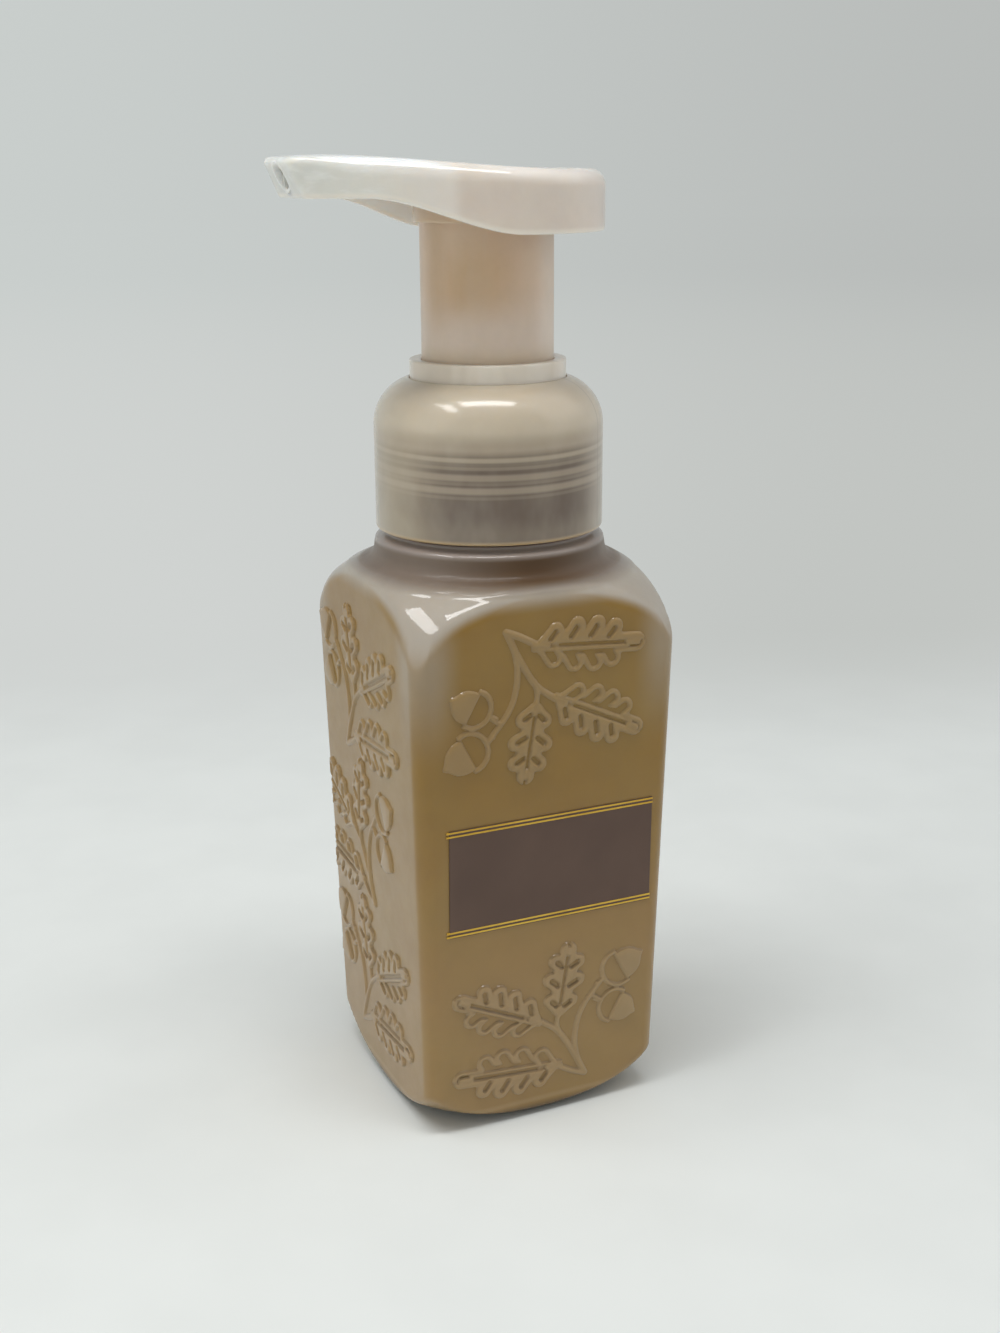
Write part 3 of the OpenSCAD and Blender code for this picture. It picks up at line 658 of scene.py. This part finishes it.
def makeBottle():
    shape = bottleShape
    wall, dish, push = shape["wall"], shape["dishRadius"], shape["dishHeight"]
    bowl = (dish ** 2 + push ** 2) / (2 * push)
    outer = [(r, push - bowl + math.sqrt(bowl ** 2 - r ** 2)) for r in (0, 3, 6, 9, 11.5, 13)]
    outer += [(dish - 0.2, 0.1), (dish + 0.2, 0), (dish + 2, 0)]
    outer += arc(footRadius, footCurve, footCurve, -90, 0, 30)
    sides = np.linspace(footCurve, shape["bodyHeight"], 26)[1:-1]
    outer += [(shape["turnedRadius"], height) for height in sides]
    shoulder = shoulderOutline(0, shape["beadRadius"], (64, 36))
    for place, size, above, below in shape["ridges"]:
        for i, (turned, height) in enumerate(shoulder):
            swell = ease((place + above - height) / above) * ease((height - place + below) / below)
            shoulder[i] = (turned + size * float(swell), height)
    outer += shoulder
    neck, bore, edge = shape["neckRadius"], shape["neckRadius"] - shape["neckWall"], 0.3
    outer += [(neck + edge, neckHeight), (neck, neckHeight + edge)]
    outer += [(neck, height) for height in np.linspace(neckHeight + 3, bottleTop - edge, 6)]
    outer += [(neck - edge, bottleTop), (bore + edge, bottleTop), (bore, bottleTop - edge)]
    inner = shoulderOutline(wall, bore, (14, 6))[::-1]
    inner += [(shape["turnedRadius"] - wall, height) for height in sides[::-4]]
    inner += arc(footRadius, footCurve, footCurve - wall, 0, -90, 10)
    floor = [(r, push - bowl + math.sqrt((bowl + wall) ** 2 - r ** 2)) for r in (14.2, 11, 7, 3, 0)]
    turns = columnTurns()
    rows = []
    for outline, inset in ((outer, 0.0), (inner + floor, wall)):
        for turned, height in outline:
            radius = bodyRadius(turns, height, turned, inset)
            rows.append([(r * math.cos(a), r * math.sin(a), height) for r, a in zip(radius, turns)])
    bm = bmesh.new()
    movedGrid(bm, rows)
    addThread(bm, neck, 1, neckHeight + thread["start"], thread)
    finishPiece("pearl_bottle", bm, bottleMaterial, "bottle", ["bottle"])


makeBottle()


# A sprig is drawn round its fork: u runs right and v up, in millimetres.
sprig = {
    "rise": 0.44, "edge": 0.42, "ridgeHalf": 0.56, "sunk": 0.15, "cell": 0.24, "fillet": 0.6,
    "crown": 0.14, "crownReach": 1.5, "across": (-15.5, 32), "upright": (-32.5, 3), "thickness": 0.35,
    "stems": [{"half": 0.72, "path": [(0, 0), (2.6, -1.1), (6.4, -3.2)]},
              {"half": 0.66, "path": [(0, 0), (1.9, -4.6), (2.3, -9.6), (0.8, -15.0), (-3.4, -20.4)]},
              {"half": 0.68, "path": [(0, 0), (2.8, -5.6), (6.2, -11.0), (10.6, -14.4)]},
              {"half": 0.56, "path": [(5.8, -10.2), (6.4, -12.6), (6.2, -15.6)]},
              {"half": 0.42, "path": [(0.2, -16.4), (-1.4, -17.2), (-3.0, -16.2)]}],
    # solid: which half is a raised pad, the left or the right one as seen from the stalk
    "leaves": [{"base": (5.6, -3.2), "tip": (29.0, -5.0), "width": 11.2, "lobes": 4, "lobe": 1.8,
                "solid": (1, 0)},
               {"base": (10.0, -14.0), "tip": (28.8, -22.8), "width": 11.2, "lobes": 4, "lobe": 1.7,
                "solid": (0, 1)},
               {"base": (6.2, -14.4), "tip": (3.8, -30.4), "width": 9.6, "lobes": 3, "lobe": 1.75,
                "solid": (1, 1)}],
    "acorns": [{"cup": (-3.0, -15.8), "tip": (-11.2, -11.4)},
               {"cup": (-3.6, -20.4), "tip": (-12.6, -25.0)}],
}
# Each face has its turn about the axis and its sprigs: fork, mirror across, mirror up.
sideSprigs = [((-11.4, 71.6), 1, -1), ((0.1, 40.4), -1, -1), ((-11.2, 9.6), 1, -1)]
reliefFaces = {
    "front_leaves": (0, [((-9.0, 102.2), 1, 1), ((8.9, 6.9), -1, -1)]),
    "left_leaves": (-90, sideSprigs), "right_leaves": (90, sideSprigs),
}


def lineDistance(u, v, points):  # from each grid point to the nearest place on a line
    best = np.full(u.shape, 99.0)
    for (x0, y0), (x1, y1) in zip(points, points[1:]):
        length = (x1 - x0) ** 2 + (y1 - y0) ** 2
        along = np.clip(((u - x0) * (x1 - x0) + (v - y0) * (y1 - y0)) / length, 0, 1)
        best = np.minimum(best, np.hypot(u - x0 - along * (x1 - x0), v - y0 - along * (y1 - y0)))
    return best


def smoothLine(points, count=8):  # a curve through points, as short lines
    points = [np.array(point) for point in points]
    points = [2 * points[0] - points[1], *points, 2 * points[-1] - points[-2]]
    line = []
    for a, b, c, d in zip(points, points[1:], points[2:], points[3:]):
        for t in np.arange(0, 1, 1 / count):
            line.append(0.5 * (2 * b + (c - a) * t + (2 * a - 5 * b + 4 * c - d) * t ** 2
                               + (3 * b - a - 3 * c + d) * t ** 3))
    return [tuple(p) for p in line] + [tuple(points[-2])]


def axisOf(u, v, start, end):  # along and across a line
    start, end = np.array(start), np.array(end)
    length = np.hypot(*(end - start))
    way = (end - start) / length
    along = (u - start[0]) * way[0] + (v - start[1]) * way[1]
    return along, -(u - start[0]) * way[1] + (v - start[1]) * way[0], length


def bar(along, across, start, end, radius):  # distance from a round-ended bar
    return lineDistance(along, across, [start, end]) - radius


def padOf(distance):  # a raised area with a rounded edge, a little crowned
    lift = (sprig["rise"] + sprig["sunk"]) * ease(-distance / sprig["edge"])
    return lift + sprig["crown"] * ease(-distance / sprig["crownReach"]) - sprig["sunk"]


def ridgeOf(distance, half=None):  # a rounded ridge along a line
    half = half or sprig["ridgeHalf"]
    return np.maximum(sprig["rise"] * (1 - (distance / half) ** 2), -sprig["sunk"])


def leafHeight(u, v, leaf):  # places on a leaf are shares of its length and width
    along, across, length = axisOf(u, v, leaf["base"], leaf["tip"])
    lobe, fillet = leaf["lobe"], sprig["fillet"]
    tipLobe = 1.12 * lobe
    outline = bar(along, across, (0.55 * length, 0), (length - tipLobe, 0), tipLobe)
    middle = bar(along, across, (0.3 * length, 0), (0.62 * length, 0), 0.25 * leaf["width"])
    foot = bar(along, across, (1.0, 0), (0.3 * length, 0), 1.0)
    outline = softJoin(softJoin(outline, middle, 2.0), foot, fillet)
    veins = np.full(u.shape, 9.0)
    for share in (i / (leaf["lobes"] - 1) for i in range(leaf["lobes"])):  # each pair of side lobes
        foot = length * (0.10 + 0.52 * share)
        reach = (leaf["width"] / 2 - lobe) * (0.45 + 0.55 * math.sin(math.pi * (0.16 + 0.62 * share)))
        end = foot + 0.42 * reach + 0.8
        for way in (-reach, reach):
            outline = softJoin(outline, bar(along, across, (foot, 0), (end, way), lobe), fillet)
            inward, outward = ((foot + part * (end - foot), part * way) for part in (0.42, 0.9))
            veins = np.minimum(veins, bar(along, across, inward, outward, 0.24))
    stalk, tip = (bar(along, across, (start, 0), (end, 0), radius) for start, end, radius in
                  ((0, 0.12 * length, 0.75), (0.84 * length, length - lobe, 0.9)))
    height = np.maximum(padOf(stalk), padOf(tip))
    left, right = leaf["solid"]
    for side, solid in ((across, left), (-across, right)):
        if solid:
            raised = np.minimum(padOf(np.maximum(outline, 0.12 - side)), 1.5 * veins - sprig["sunk"])
        else:
            raised = np.where(side > -0.3, ridgeOf(outline + 0.5), -sprig["sunk"])
        height = np.maximum(height, raised)
    if not (left and right):  # the rib beside a half that is only an outline
        rib = bar(along, across + 0.75 * (left - right), (0, 0), (0.84 * length, 0), 0)
        height = np.maximum(height, ridgeOf(rib, 0.5))
    return height


def oval(along, across, middle, half, wide):  # below 0 inside an oval, above 0 outside
    return np.hypot((along - middle) / half, across / wide) - 1


def acornHeight(u, v, acorn):
    along, across, length = axisOf(u, v, acorn["cup"], acorn["tip"])
    nut = 0.36 * length * oval(along, across, 0.54 * length, 0.40 * length, 0.36 * length)
    nut = softJoin(nut, bar(along, across, (0.8 * length, 0), (length - 0.4, 0), 0.35), 1.6)
    nut = np.maximum(nut, 0.42 * length - along)
    cup = 0.42 * length * oval(along, across, 0.40 * length, 0.40 * length, 0.43 * length)
    brim = np.where(along < 0.5 * length, ridgeOf(cup + 0.45), -sprig["sunk"])
    stalk = ridgeOf(bar(along, across, (-1.2, 0), (0.4, 0), 0), 0.5)
    return np.maximum.reduce([padOf(nut), brim, stalk])


def sprigHeight(u, v):
    heights = [ridgeOf(lineDistance(u, v, smoothLine(stem["path"])), stem["half"])
               for stem in sprig["stems"]]
    heights += [leafHeight(u, v, leaf) for leaf in sprig["leaves"]]
    heights += [acornHeight(u, v, acorn) for acorn in sprig["acorns"]]
    return np.maximum(np.maximum.reduce(heights), -sprig["sunk"])


def addSprig(bm, fork, mirrorU, mirrorV, faceTurn):  # a raised sheet with its back sunk in the wall
    u, v = np.meshgrid(*(np.arange(*sprig[way], sprig["cell"]) for way in ("across", "upright")))
    height = sprigHeight(u, v)
    sideways = fork[0] + mirrorU * u
    level = fork[1] + mirrorV * v
    half = halfWidth(level)
    turn = np.arctan2(sideways, half)
    radius = bodyRadius(turn, level, turnedAt(level))
    wall = radius * np.cos(turn)  # it fades where the wall curves away and near the upright edges
    fade = ease((wall - half + 1.2) / 0.8) * ease((half - 2.4 - np.abs(sideways)) / 1.2)
    height = (height + sprig["sunk"]) * fade - sprig["sunk"]
    rows = np.stack([radius * np.sin(turn), -wall - height, level], axis=2)
    known, knownFaces = set(bm.verts), set(bm.faces)
    low = {vert for vert, place in movedGrid(bm, rows).items() if height[place] < -0.12}
    empty = [face for face in bm.faces if face not in knownFaces and all(v in low for v in face.verts)]
    bmesh.ops.delete(bm, geom=empty, context="FACES")
    faces = [face for face in bm.faces if face not in knownFaces]
    for face in faces:
        face.normal_update()
    if mirrorU * mirrorV < 0:
        bmesh.ops.reverse_faces(bm, faces=faces)
    back = bmesh.ops.extrude_face_region(bm, geom=faces, use_keep_orig=True)["geom"]
    for vert in {item for item in back if isinstance(item, bmesh.types.BMVert)}:
        vert.co.y += sprig["thickness"]
    fresh = [vert for vert in bm.verts if vert not in known]
    turned = Matrix.Rotation(math.radians(faceTurn), 3, "Z")
    bmesh.ops.rotate(bm, verts=fresh, cent=(0, 0, 0), matrix=turned)


for name, (faceTurn, sprigs) in reliefFaces.items():
    relief = bmesh.new()
    for fork, mirrorU, mirrorV in sprigs:
        addSprig(relief, fork, mirrorU, mirrorV, faceTurn)
    finishPiece(name, relief, reliefMaterial, "bottle", sharpAngle=70, merge=0.0005)


ruleShape = {"width": 0.36, "gap": 0.42, "inset": 0.15, "overhang": 0.6, "proud": 0.28}


def makeRules():
    low, high = boxOf("front_label")
    bm = bmesh.new()
    pitch = ruleShape["width"] + ruleShape["gap"]
    for edge, way in ((low[2], 1), (high[2], -1)):
        for i in range(2):
            middle = edge + way * (ruleShape["inset"] + ruleShape["width"] / 2 + i * pitch)
            strip = bmesh.ops.create_cube(bm, size=1)["verts"]
            for vert in strip:
                x = low[0] - ruleShape["overhang"] if vert.co.x < 0 else high[0] + 0.1
                z = middle + ruleShape["width"] * vert.co.z
                proud = ruleShape["proud"] if vert.co.y < 0 else -0.1
                vert.co = (x, -halfWidth(z) - proud, z)
    long = [e for e in bm.edges if abs(e.verts[0].co.x - e.verts[1].co.x) > 1]
    bmesh.ops.bevel(bm, geom=long, offset=0.04, segments=2, profile=0.5, affect="EDGES", material=-1)
    finishPiece("label_rules", bm, goldMaterial, "bottle", sharpAngle=35)


makeRules()


collarLow, collarHigh = boxOf("closure_collar")
ringLow, ringHigh = boxOf("guide_ring")
collarShape = {"steps": 160, "domeRadius": 9.2, "domeBase": 136.2, "wall": 1.7, "deck": 1.4,
               "bevel": 0.6, "cylinder": 15.6, "clearance": 0.4, "mouth": 15.0,
               "rows": (121, 125, 129, 133)}  # heights of the rows of faces on the wall


def makeCollar():
    shape = collarShape
    outside = collarHigh[0]
    bore = outside - shape["wall"]
    domeCentre, base = outside - shape["domeRadius"], shape["domeBase"]
    mouthTurn = math.degrees(math.acos((shape["mouth"] - domeCentre) / shape["domeRadius"]))
    inner = shape["domeRadius"] - shape["deck"]
    innerTurn = math.degrees(math.acos((shape["mouth"] + 1 - domeCentre) / inner))
    hub = shape["cylinder"] + shape["clearance"]
    outline = [(bore, collarLow[2] + 0.3), (bore + 0.3, collarLow[2])]
    outline += arc(outside - shape["bevel"], collarLow[2] + shape["bevel"], shape["bevel"], -90, 0, 6)
    outline += [(outside, height) for height in shape["rows"]]
    outline += arc(domeCentre, base, shape["domeRadius"], 0, mouthTurn - 2, 28)
    outline += arc(shape["mouth"] + 0.25, collarHigh[2] - 0.25, 0.25, mouthTurn, 180, 4)
    outline += [(shape["mouth"], collarHigh[2] - shape["deck"])]
    outline += arc(domeCentre, base, inner, innerTurn, 14, 14)
    outline += [(hub, base + shape["deck"]), (hub, base + 0.02), (bore, base + 0.02)]
    bm = bmesh.new()
    addTurned(bm, outline, shape["steps"])
    addThread(bm, bore, -1, neckHeight + thread["start"] - thread["pitch"] / 2, thread)
    finishPiece("closure_cap", bm, collarMaterial, "collar", ["closure_collar"])


ringShape = {"steps": 160, "clearance": 0.05, "hubRadius": 14.35, "ledge": 142.52, "lipRadius": 14.9,
             "outerRound": 0.35, "innerRound": 0.45}


def makeGuideRing():
    hub, ledge, lip = (ringShape[key] for key in ("hubRadius", "ledge", "lipRadius"))
    outer, inner = ringShape["outerRound"], ringShape["innerRound"]
    bore, top = boxOf("stem_sleeve")[1][0] + ringShape["clearance"], ringHigh[2]
    outline = [(bore, ringLow[2]), (hub, ringLow[2]), (hub, ledge), (lip, ledge), (lip, top - 1.0)]
    outline += arc(lip - outer, top - outer, outer, 0, 90, 5)
    outline += arc(bore + inner, top - inner, inner, 90, 180, 5)
    bm = bmesh.new()
    addTurned(bm, outline, ringShape["steps"])
    finishPiece("guide_lip", bm, ringMaterial, "pump", ["guide_ring"])


sleeveShape = {"steps": 160, "wall": 1.0, "bevel": 0.2}


def makeSleeve():
    low, high = boxOf("stem_sleeve")
    outer, bore, bevel = high[0], high[0] - sleeveShape["wall"], sleeveShape["bevel"]
    outline = [(bore, low[2]), (outer - bevel, low[2]), (outer, low[2] + bevel)]
    outline += [(outer, height) for height in np.linspace(low[2] + 4, high[2] - 4, 8)]
    outline += [(outer, high[2] - bevel), (outer - bevel, high[2]), (bore, high[2])]
    bm = bmesh.new()
    addTurned(bm, outline, sleeveShape["steps"])
    finishPiece("peach_sleeve", bm, sleeveMaterial, "head", ["stem_sleeve"])


# closedRise: what each closed end turn climbs; travel: how far the coil shortens when pressed
springShape = {"wire": 0.45, "closedRise": 1.0, "openTurns": 5, "steps": 24, "travel": 16.05}


def makeSpring():
    low, high = boxOf("return_spring")
    wire, closed, count = springShape["wire"], springShape["closedRise"], springShape["openTurns"]
    height = high[2] - low[2]
    bm = bmesh.new()
    bmesh.ops.create_circle(bm, segments=10, radius=wire)
    bmesh.ops.rotate(bm, verts=bm.verts, cent=(0, 0, 0), matrix=Matrix.Rotation(math.pi / 2, 3, "X"))
    bmesh.ops.translate(bm, verts=bm.verts, vec=(high[0] - wire, 0, low[2] + wire))
    last = list(bm.verts) + list(bm.edges)
    for turns, rise in ((1, closed), (count, height - 2 * wire - 2 * closed), (1, closed)):
        steps = turns * springShape["steps"]
        last = bmesh.ops.spin(bm, geom=last, cent=(0, 0, 0), axis=(0, 0, 1), angle=math.tau * turns,
                              dvec=(0, 0, rise / steps), steps=steps)["geom_last"]
    bmesh.ops.holes_fill(bm, edges=[e for e in bm.edges if e.is_boundary], sides=10)
    spring = finishPiece(
        "coiled_spring", bm, wireMaterial, "pump", ["return_spring"], sharpAngle=60)
    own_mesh(spring)


makeCollar()
makeGuideRing()
makeSleeve()
makeSpring()


headLow, headHigh = boxOf("pump_head")
headShape = {
    "back": headHigh[0], "tipHalf": 7.5, "tipCentre": 39.0, "tipCorner": 3.2, "endTop": -headLow[0],
    "slant": 3.0, "edgeRound": 3.0, "tipEdgeRound": 1.1, "wall": 1.3, "crown": 0.35, "spineEnd": 33.0,
    "skirt": headLow[2], "roof": headHigh[2] - 2.3, "roofRise": 2.3, "skirtRise": 6.3,
    "roofSlope": (8, 40), "skirtSlope": (-2, 26),  # where each starts to rise, and over what length
    "endColumns": 6, "cornerColumns": 9, "sideColumns": 26, "backColumns": 44,
    "stemRadius": 6.0, "chamberWall": 1.3, "socketWall": 1.1,
}
lean = math.asin((headShape["back"] - headShape["tipHalf"]) / headShape["tipCentre"])


def heightAt(edge, x):  # of the roof or the skirt, which rise towards the spout
    start, run = headShape[edge + "Slope"]
    return headShape[edge] + headShape[edge + "Rise"] * ease((start - x) / run)


def headLoop(half):  # one side of the head, doubled to the other side
    return np.concatenate([half, half[-2::-1] * np.array([1, -1])])


def headOutline(end, inset):  # the head seen from above, from the spout's end round to its back
    corner, back = headShape["tipCorner"], headShape["back"]
    columns = headColumns()
    way = np.array([-math.sin(lean), -math.cos(lean)])
    middle = np.array([-end + corner, 0.0])
    middle[1] = -(back - corner + middle[0] * math.sin(lean)) / math.cos(lean)
    points = []
    for (part, share), depth in zip(columns, np.broadcast_to(inset, len(columns))):
        if part == 0:
            points.append((-end + depth, middle[1] * share))
        elif part == 1:
            turn = math.pi + share * (math.pi / 2 - lean)
            points.append(middle + (corner - depth) * np.array([math.cos(turn), math.sin(turn)]))
        elif part == 2:
            points.append((1 - share) * (middle + (corner - depth) * way) + share * (back - depth) * way)
        else:
            turn = 1.5 * math.pi - lean + share * (math.pi / 2 + lean)
            points.append((back - depth) * np.array([math.cos(turn), math.sin(turn)]))
    return np.array(points)


def headColumns():  # which part of the outline each column lies on, and how far along it
    counts = [headShape[part + "Columns"] for part in ("end", "corner", "side", "back")]
    columns = [(part, i / count) for part, count in enumerate(counts) for i in range(count)]
    return np.array(columns + [(3, 1.0)])


def makeHead():
    shape, columns = headShape, headColumns()
    reach = np.where(columns[:, 0] < 2, 0.0, np.where(columns[:, 0] == 2, columns[:, 1], 1.0))
    spine = np.stack([-shape["spineEnd"] * (1 - reach), 0 * reach], axis=1)
    nearTip = np.where(columns[:, 0] == 2, ease(columns[:, 1] * 3), (columns[:, 0] > 2) * 1.0)
    edge = shape["tipEdgeRound"] + (shape["edgeRound"] - shape["tipEdgeRound"]) * nearTip
    crown, wall = shape["crown"], shape["wall"]
    rows = []

    def addRow(half, height):
        rows.append(np.column_stack([headLoop(half), np.concatenate([height, height[-2::-1]])]))

    def endAt(share):
        return shape["endTop"] - shape["slant"] * (1 - share)

    def sideRow(share, inset, top):
        half = headOutline(endAt(share), inset)
        skirt = heightAt("skirt", half[:, 0])
        addRow(half, skirt + (heightAt("roof", half[:, 0]) - crown - top - skirt) * share)

    def roofRows(inset, drop, shares):
        start = headOutline(shape["endTop"], inset)
        for share in shares:
            half = start + (spine - start) * share
            addRow(half, heightAt("roof", half[:, 0]) - crown * (1 - share) ** 2 - drop)

    roofRows(edge, 0.0, np.linspace(1, 0, 15)[:-1])  # then round the edge, and down the outside
    for turn in np.linspace(math.pi / 2, 0, 9)[:-1]:
        half = headOutline(shape["endTop"], edge * (1 - math.cos(turn)))
        addRow(half, heightAt("roof", half[:, 0]) - crown - edge * (1 - math.sin(turn)))
    for share in np.linspace(1, 0.06, 12):
        sideRow(share, 0.0, edge)
    for inset, lift in ((0.12, 0.012), (0.35, 0.0), (wall - 0.35, 0.0), (wall - 0.12, 0.012)):  # rim
        sideRow(lift, inset, edge)
    for share in np.linspace(0.06, 0.9, 7):  # up the inside, and under the roof
        sideRow(share, wall, edge)
    for inset, drop in ((wall, wall + 0.9), (wall + 0.25, wall + 0.25)):
        half = headOutline(shape["endTop"], inset)
        addRow(half, heightAt("roof", half[:, 0]) - crown - drop)
    roofRows(wall + 0.8, wall, np.linspace(0, 1, 8))
    bm = bmesh.new()
    movedGrid(bm, rows)
    top, foot = shape["roof"] - 0.8, shape["skirt"] + 1  # chamber over the stem, then the sleeve's socket
    bore, throat = shape["stemRadius"] + 0.05, shape["stemRadius"] - 1
    outside, seat = bore + shape["chamberWall"], boxOf("piston_stem")[1][2] + 0.05
    addTurned(bm, [(bore, foot), (outside, foot), (outside, top), (throat, top), (throat, seat),
                   (bore, seat)], 96)
    bore, foot = boxOf("stem_sleeve")[1][0] + 0.02, shape["skirt"] + 1.8
    outside = bore + shape["socketWall"]
    addTurned(bm, [(bore, foot), (outside, foot), (outside, top), (bore, top)], 128)
    return finishPiece("pearl_head", bm, headMaterial, "head", ["pump_head"])


head = makeHead()


outletShape = {"radius": 2.62, "length": 12, "reach": 38.5, "rise": 8.1, "tilt": math.radians(2.5)}


def cutSpout():  # the round outlet through the wall at the spout's end
    radius, reach, tilt = outletShape["radius"], outletShape["reach"], outletShape["tilt"]
    bm = bmesh.new()
    bmesh.ops.create_cone(bm, cap_ends=True, segments=64, radius1=radius, radius2=radius,
                          depth=outletShape["length"])
    bmesh.ops.transform(bm, matrix=Matrix.Rotation(tilt - math.pi / 2, 4, "Y"), verts=bm.verts)
    height = headShape["skirt"] + outletShape["rise"] + reach * math.tan(tilt)
    bmesh.ops.translate(bm, vec=(-reach, 0, height), verts=bm.verts)
    bmesh.ops.scale(bm, vec=(mm, mm, mm), verts=bm.verts)
    cutter = newObject("spoutCutter", meshFrom(bm, "spoutCutter"))
    cut = head.modifiers.new("outlet", "BOOLEAN")
    cut.operation, cut.solver, cut.object = "DIFFERENCE", "MANIFOLD", cutter
    bpy.context.view_layer.update()
    shaped = bpy.data.meshes.new_from_object(head.evaluated_get(bpy.context.evaluated_depsgraph_get()))
    head.modifiers.clear()
    head.data = shaped
    bpy.data.objects.remove(cutter)
    print("spout outlet cut,", len(shaped.polygons), "faces")


cutSpout()


stageTones = {
    "floor": paint(226, 229, 226), "grain": paint(223, 226, 223),
    "nearLeft": paint(208, 211, 209), "nearRight": paint(194, 197, 194),
    "farLeft": paint(202, 207, 205), "farRight": paint(184, 187, 185), "side": paint(214, 216, 216),
    "sky": paint(153, 155, 157),
}
view = {"place": (-130.5, -293.01, 183.3), "right": (0.91018833, -0.41414037, -0.00670565),
        "up": (0.12467341, 0.25849379, 0.95793397), "lens": 45.15}


def makeFloor():
    bm = bmesh.new()
    bmesh.ops.create_circle(bm, cap_ends=True, segments=96, radius=6)
    floor = newObject("floor", meshFrom(bm, "floor"))
    material, tree, shader = newMaterial("paleFloor", Roughness=0.75, Specular_IOR_Level=0.2)
    point, axes = objectPoint(tree)
    grain = noise(tree, point, 30, 3)
    colour = blendColour(tree, span(tree, grain, 0.3, 0.7), stageTones["floor"], stageTones["grain"])
    tree.links.new(colour, shader.inputs["Base Color"])
    away = compute(tree, "ADD", times(tree, axes[0], 0.395), times(tree, axes[1], 0.873))
    back = span(tree, away, 0.16, 0.34)
    length = tree.nodes.new("ShaderNodeVectorMath")
    length.operation = "LENGTH"
    tree.links.new(point, length.inputs[0])
    far = span(tree, length.outputs["Value"], 0.9, 2.0)
    # behind the bottle and far off the floor glows: painted light standing in for a lit wall, brighter to
    # the left
    share = compute(tree, "MAXIMUM", back, far)
    glow = tree.nodes.new("ShaderNodeEmission")
    deep = span(tree, length.outputs["Value"], 0.4, 3.0)
    near, wide = (sideTone(tree, point, stageTones[a], stageTones[b])
                  for a, b in (("nearLeft", "nearRight"), ("farLeft", "farRight")))
    tree.links.new(blendColour(tree, deep, near, wide), glow.inputs["Color"])
    join = tree.nodes.new("ShaderNodeMixShader")
    tree.links.new(share, join.inputs[0])
    tree.links.new(shader.outputs[0], join.inputs[1])
    tree.links.new(glow.outputs[0], join.inputs[2])
    tree.links.new(join.outputs[0], tree.nodes["Material Output"].inputs["Surface"])
    floor.data.materials.append(material)


def sideTone(tree, direction, left, right):  # brighter to the left of the view than to its right
    unit = tree.nodes.new("ShaderNodeVectorMath")
    unit.operation = "NORMALIZE"
    tree.links.new(direction, unit.inputs[0])
    side = tree.nodes.new("ShaderNodeVectorMath")
    side.operation = "DOT_PRODUCT"
    tree.links.new(unit.outputs[0], side.inputs[0])
    side.inputs[1].default_value = view["right"]
    tone = blendColour(tree, span(tree, side.outputs["Value"], -0.4, 0.4), left, right)
    return blendColour(tree, span(tree, side.outputs["Value"], 0.45, 0.9), tone, stageTones["side"])


def makeWorld():
    world = bpy.data.worlds.new("paleRoom")
    bpy.context.scene.world = world
    world.use_nodes = True
    tree = world.node_tree
    direction = tree.nodes.new("ShaderNodeTexCoord").outputs["Generated"]
    split = tree.nodes.new("ShaderNodeSeparateXYZ")
    tree.links.new(direction, split.inputs[0])
    tone = sideTone(tree, direction, stageTones["farLeft"], stageTones["farRight"])
    colour = blendColour(tree, span(tree, split.outputs[2], 0.15, 0.6), tone, stageTones["sky"])
    tree.links.new(colour, tree.nodes["Background"].inputs["Color"])
    tree.nodes["Background"].inputs["Strength"].default_value = 1.0


def standing(right, up, back, place):  # an object's placing from its own three directions
    return Matrix.Translation(place) @ Matrix((right, up, back)).transposed().to_4x4()


def addSoftbox(name, place, target, size, power, along, tone=(1, 1, 1)):
    lamp = bpy.data.lights.new(name, "AREA")
    lamp.shape = "RECTANGLE"
    lamp.size, lamp.size_y = size
    lamp.energy, lamp.color = power, tone
    back = (Vector(place) - Vector(target)).normalized()
    upright = back.cross(Vector(along)).normalized()
    newObject(name, lamp).matrix_world = standing(upright.cross(back), upright, back, place)


def makeCamera():
    camera = newObject("camera", bpy.data.cameras.new("camera"))
    right, up = Vector(view["right"]), Vector(view["up"])
    camera.matrix_world = standing(right, up, right.cross(up), Vector(view["place"]) * mm)
    camera.data.lens = view["lens"]
    camera.data.sensor_width = 36
    camera.data.clip_start, camera.data.clip_end = 0.01, 50
    bpy.context.scene.camera = camera


makeFloor()
makeWorld()
bpy.context.scene.view_settings.view_transform = "Standard"
level = Vector((view["right"][0], view["right"][1], 0)).normalized()  # the view's own right and depth
depth = Vector((-level.y, level.x, 0))
# each overhead softbox: how far to the right it hangs, its size across and deep, and its power
overheads = {"overheadLeft": (-0.5, (0.17, 0.6), 3.2), "overheadRight": (-0.005, (0.57, 0.18), 3.9)}
for name, (sideways, size, power) in overheads.items():
    above = level * sideways - depth * 0.2
    addSoftbox(name, above + Vector((0, 0, 0.97)), above, size, power, level)
addSoftbox("leftWindow", (-0.95, -0.1, 0.55), (0, 0, 0.09), (0.8, 0.8), 0.8, (0, 0, 1),
           tone=(1.0, 0.99, 0.97))
addSoftbox("rightFill", (0.7, -0.3, 0.75), (0.15, -0.1, 0), (0.9, 0.9), 1.6, (0, 0, 1))
makeCamera()
print("stage ready")
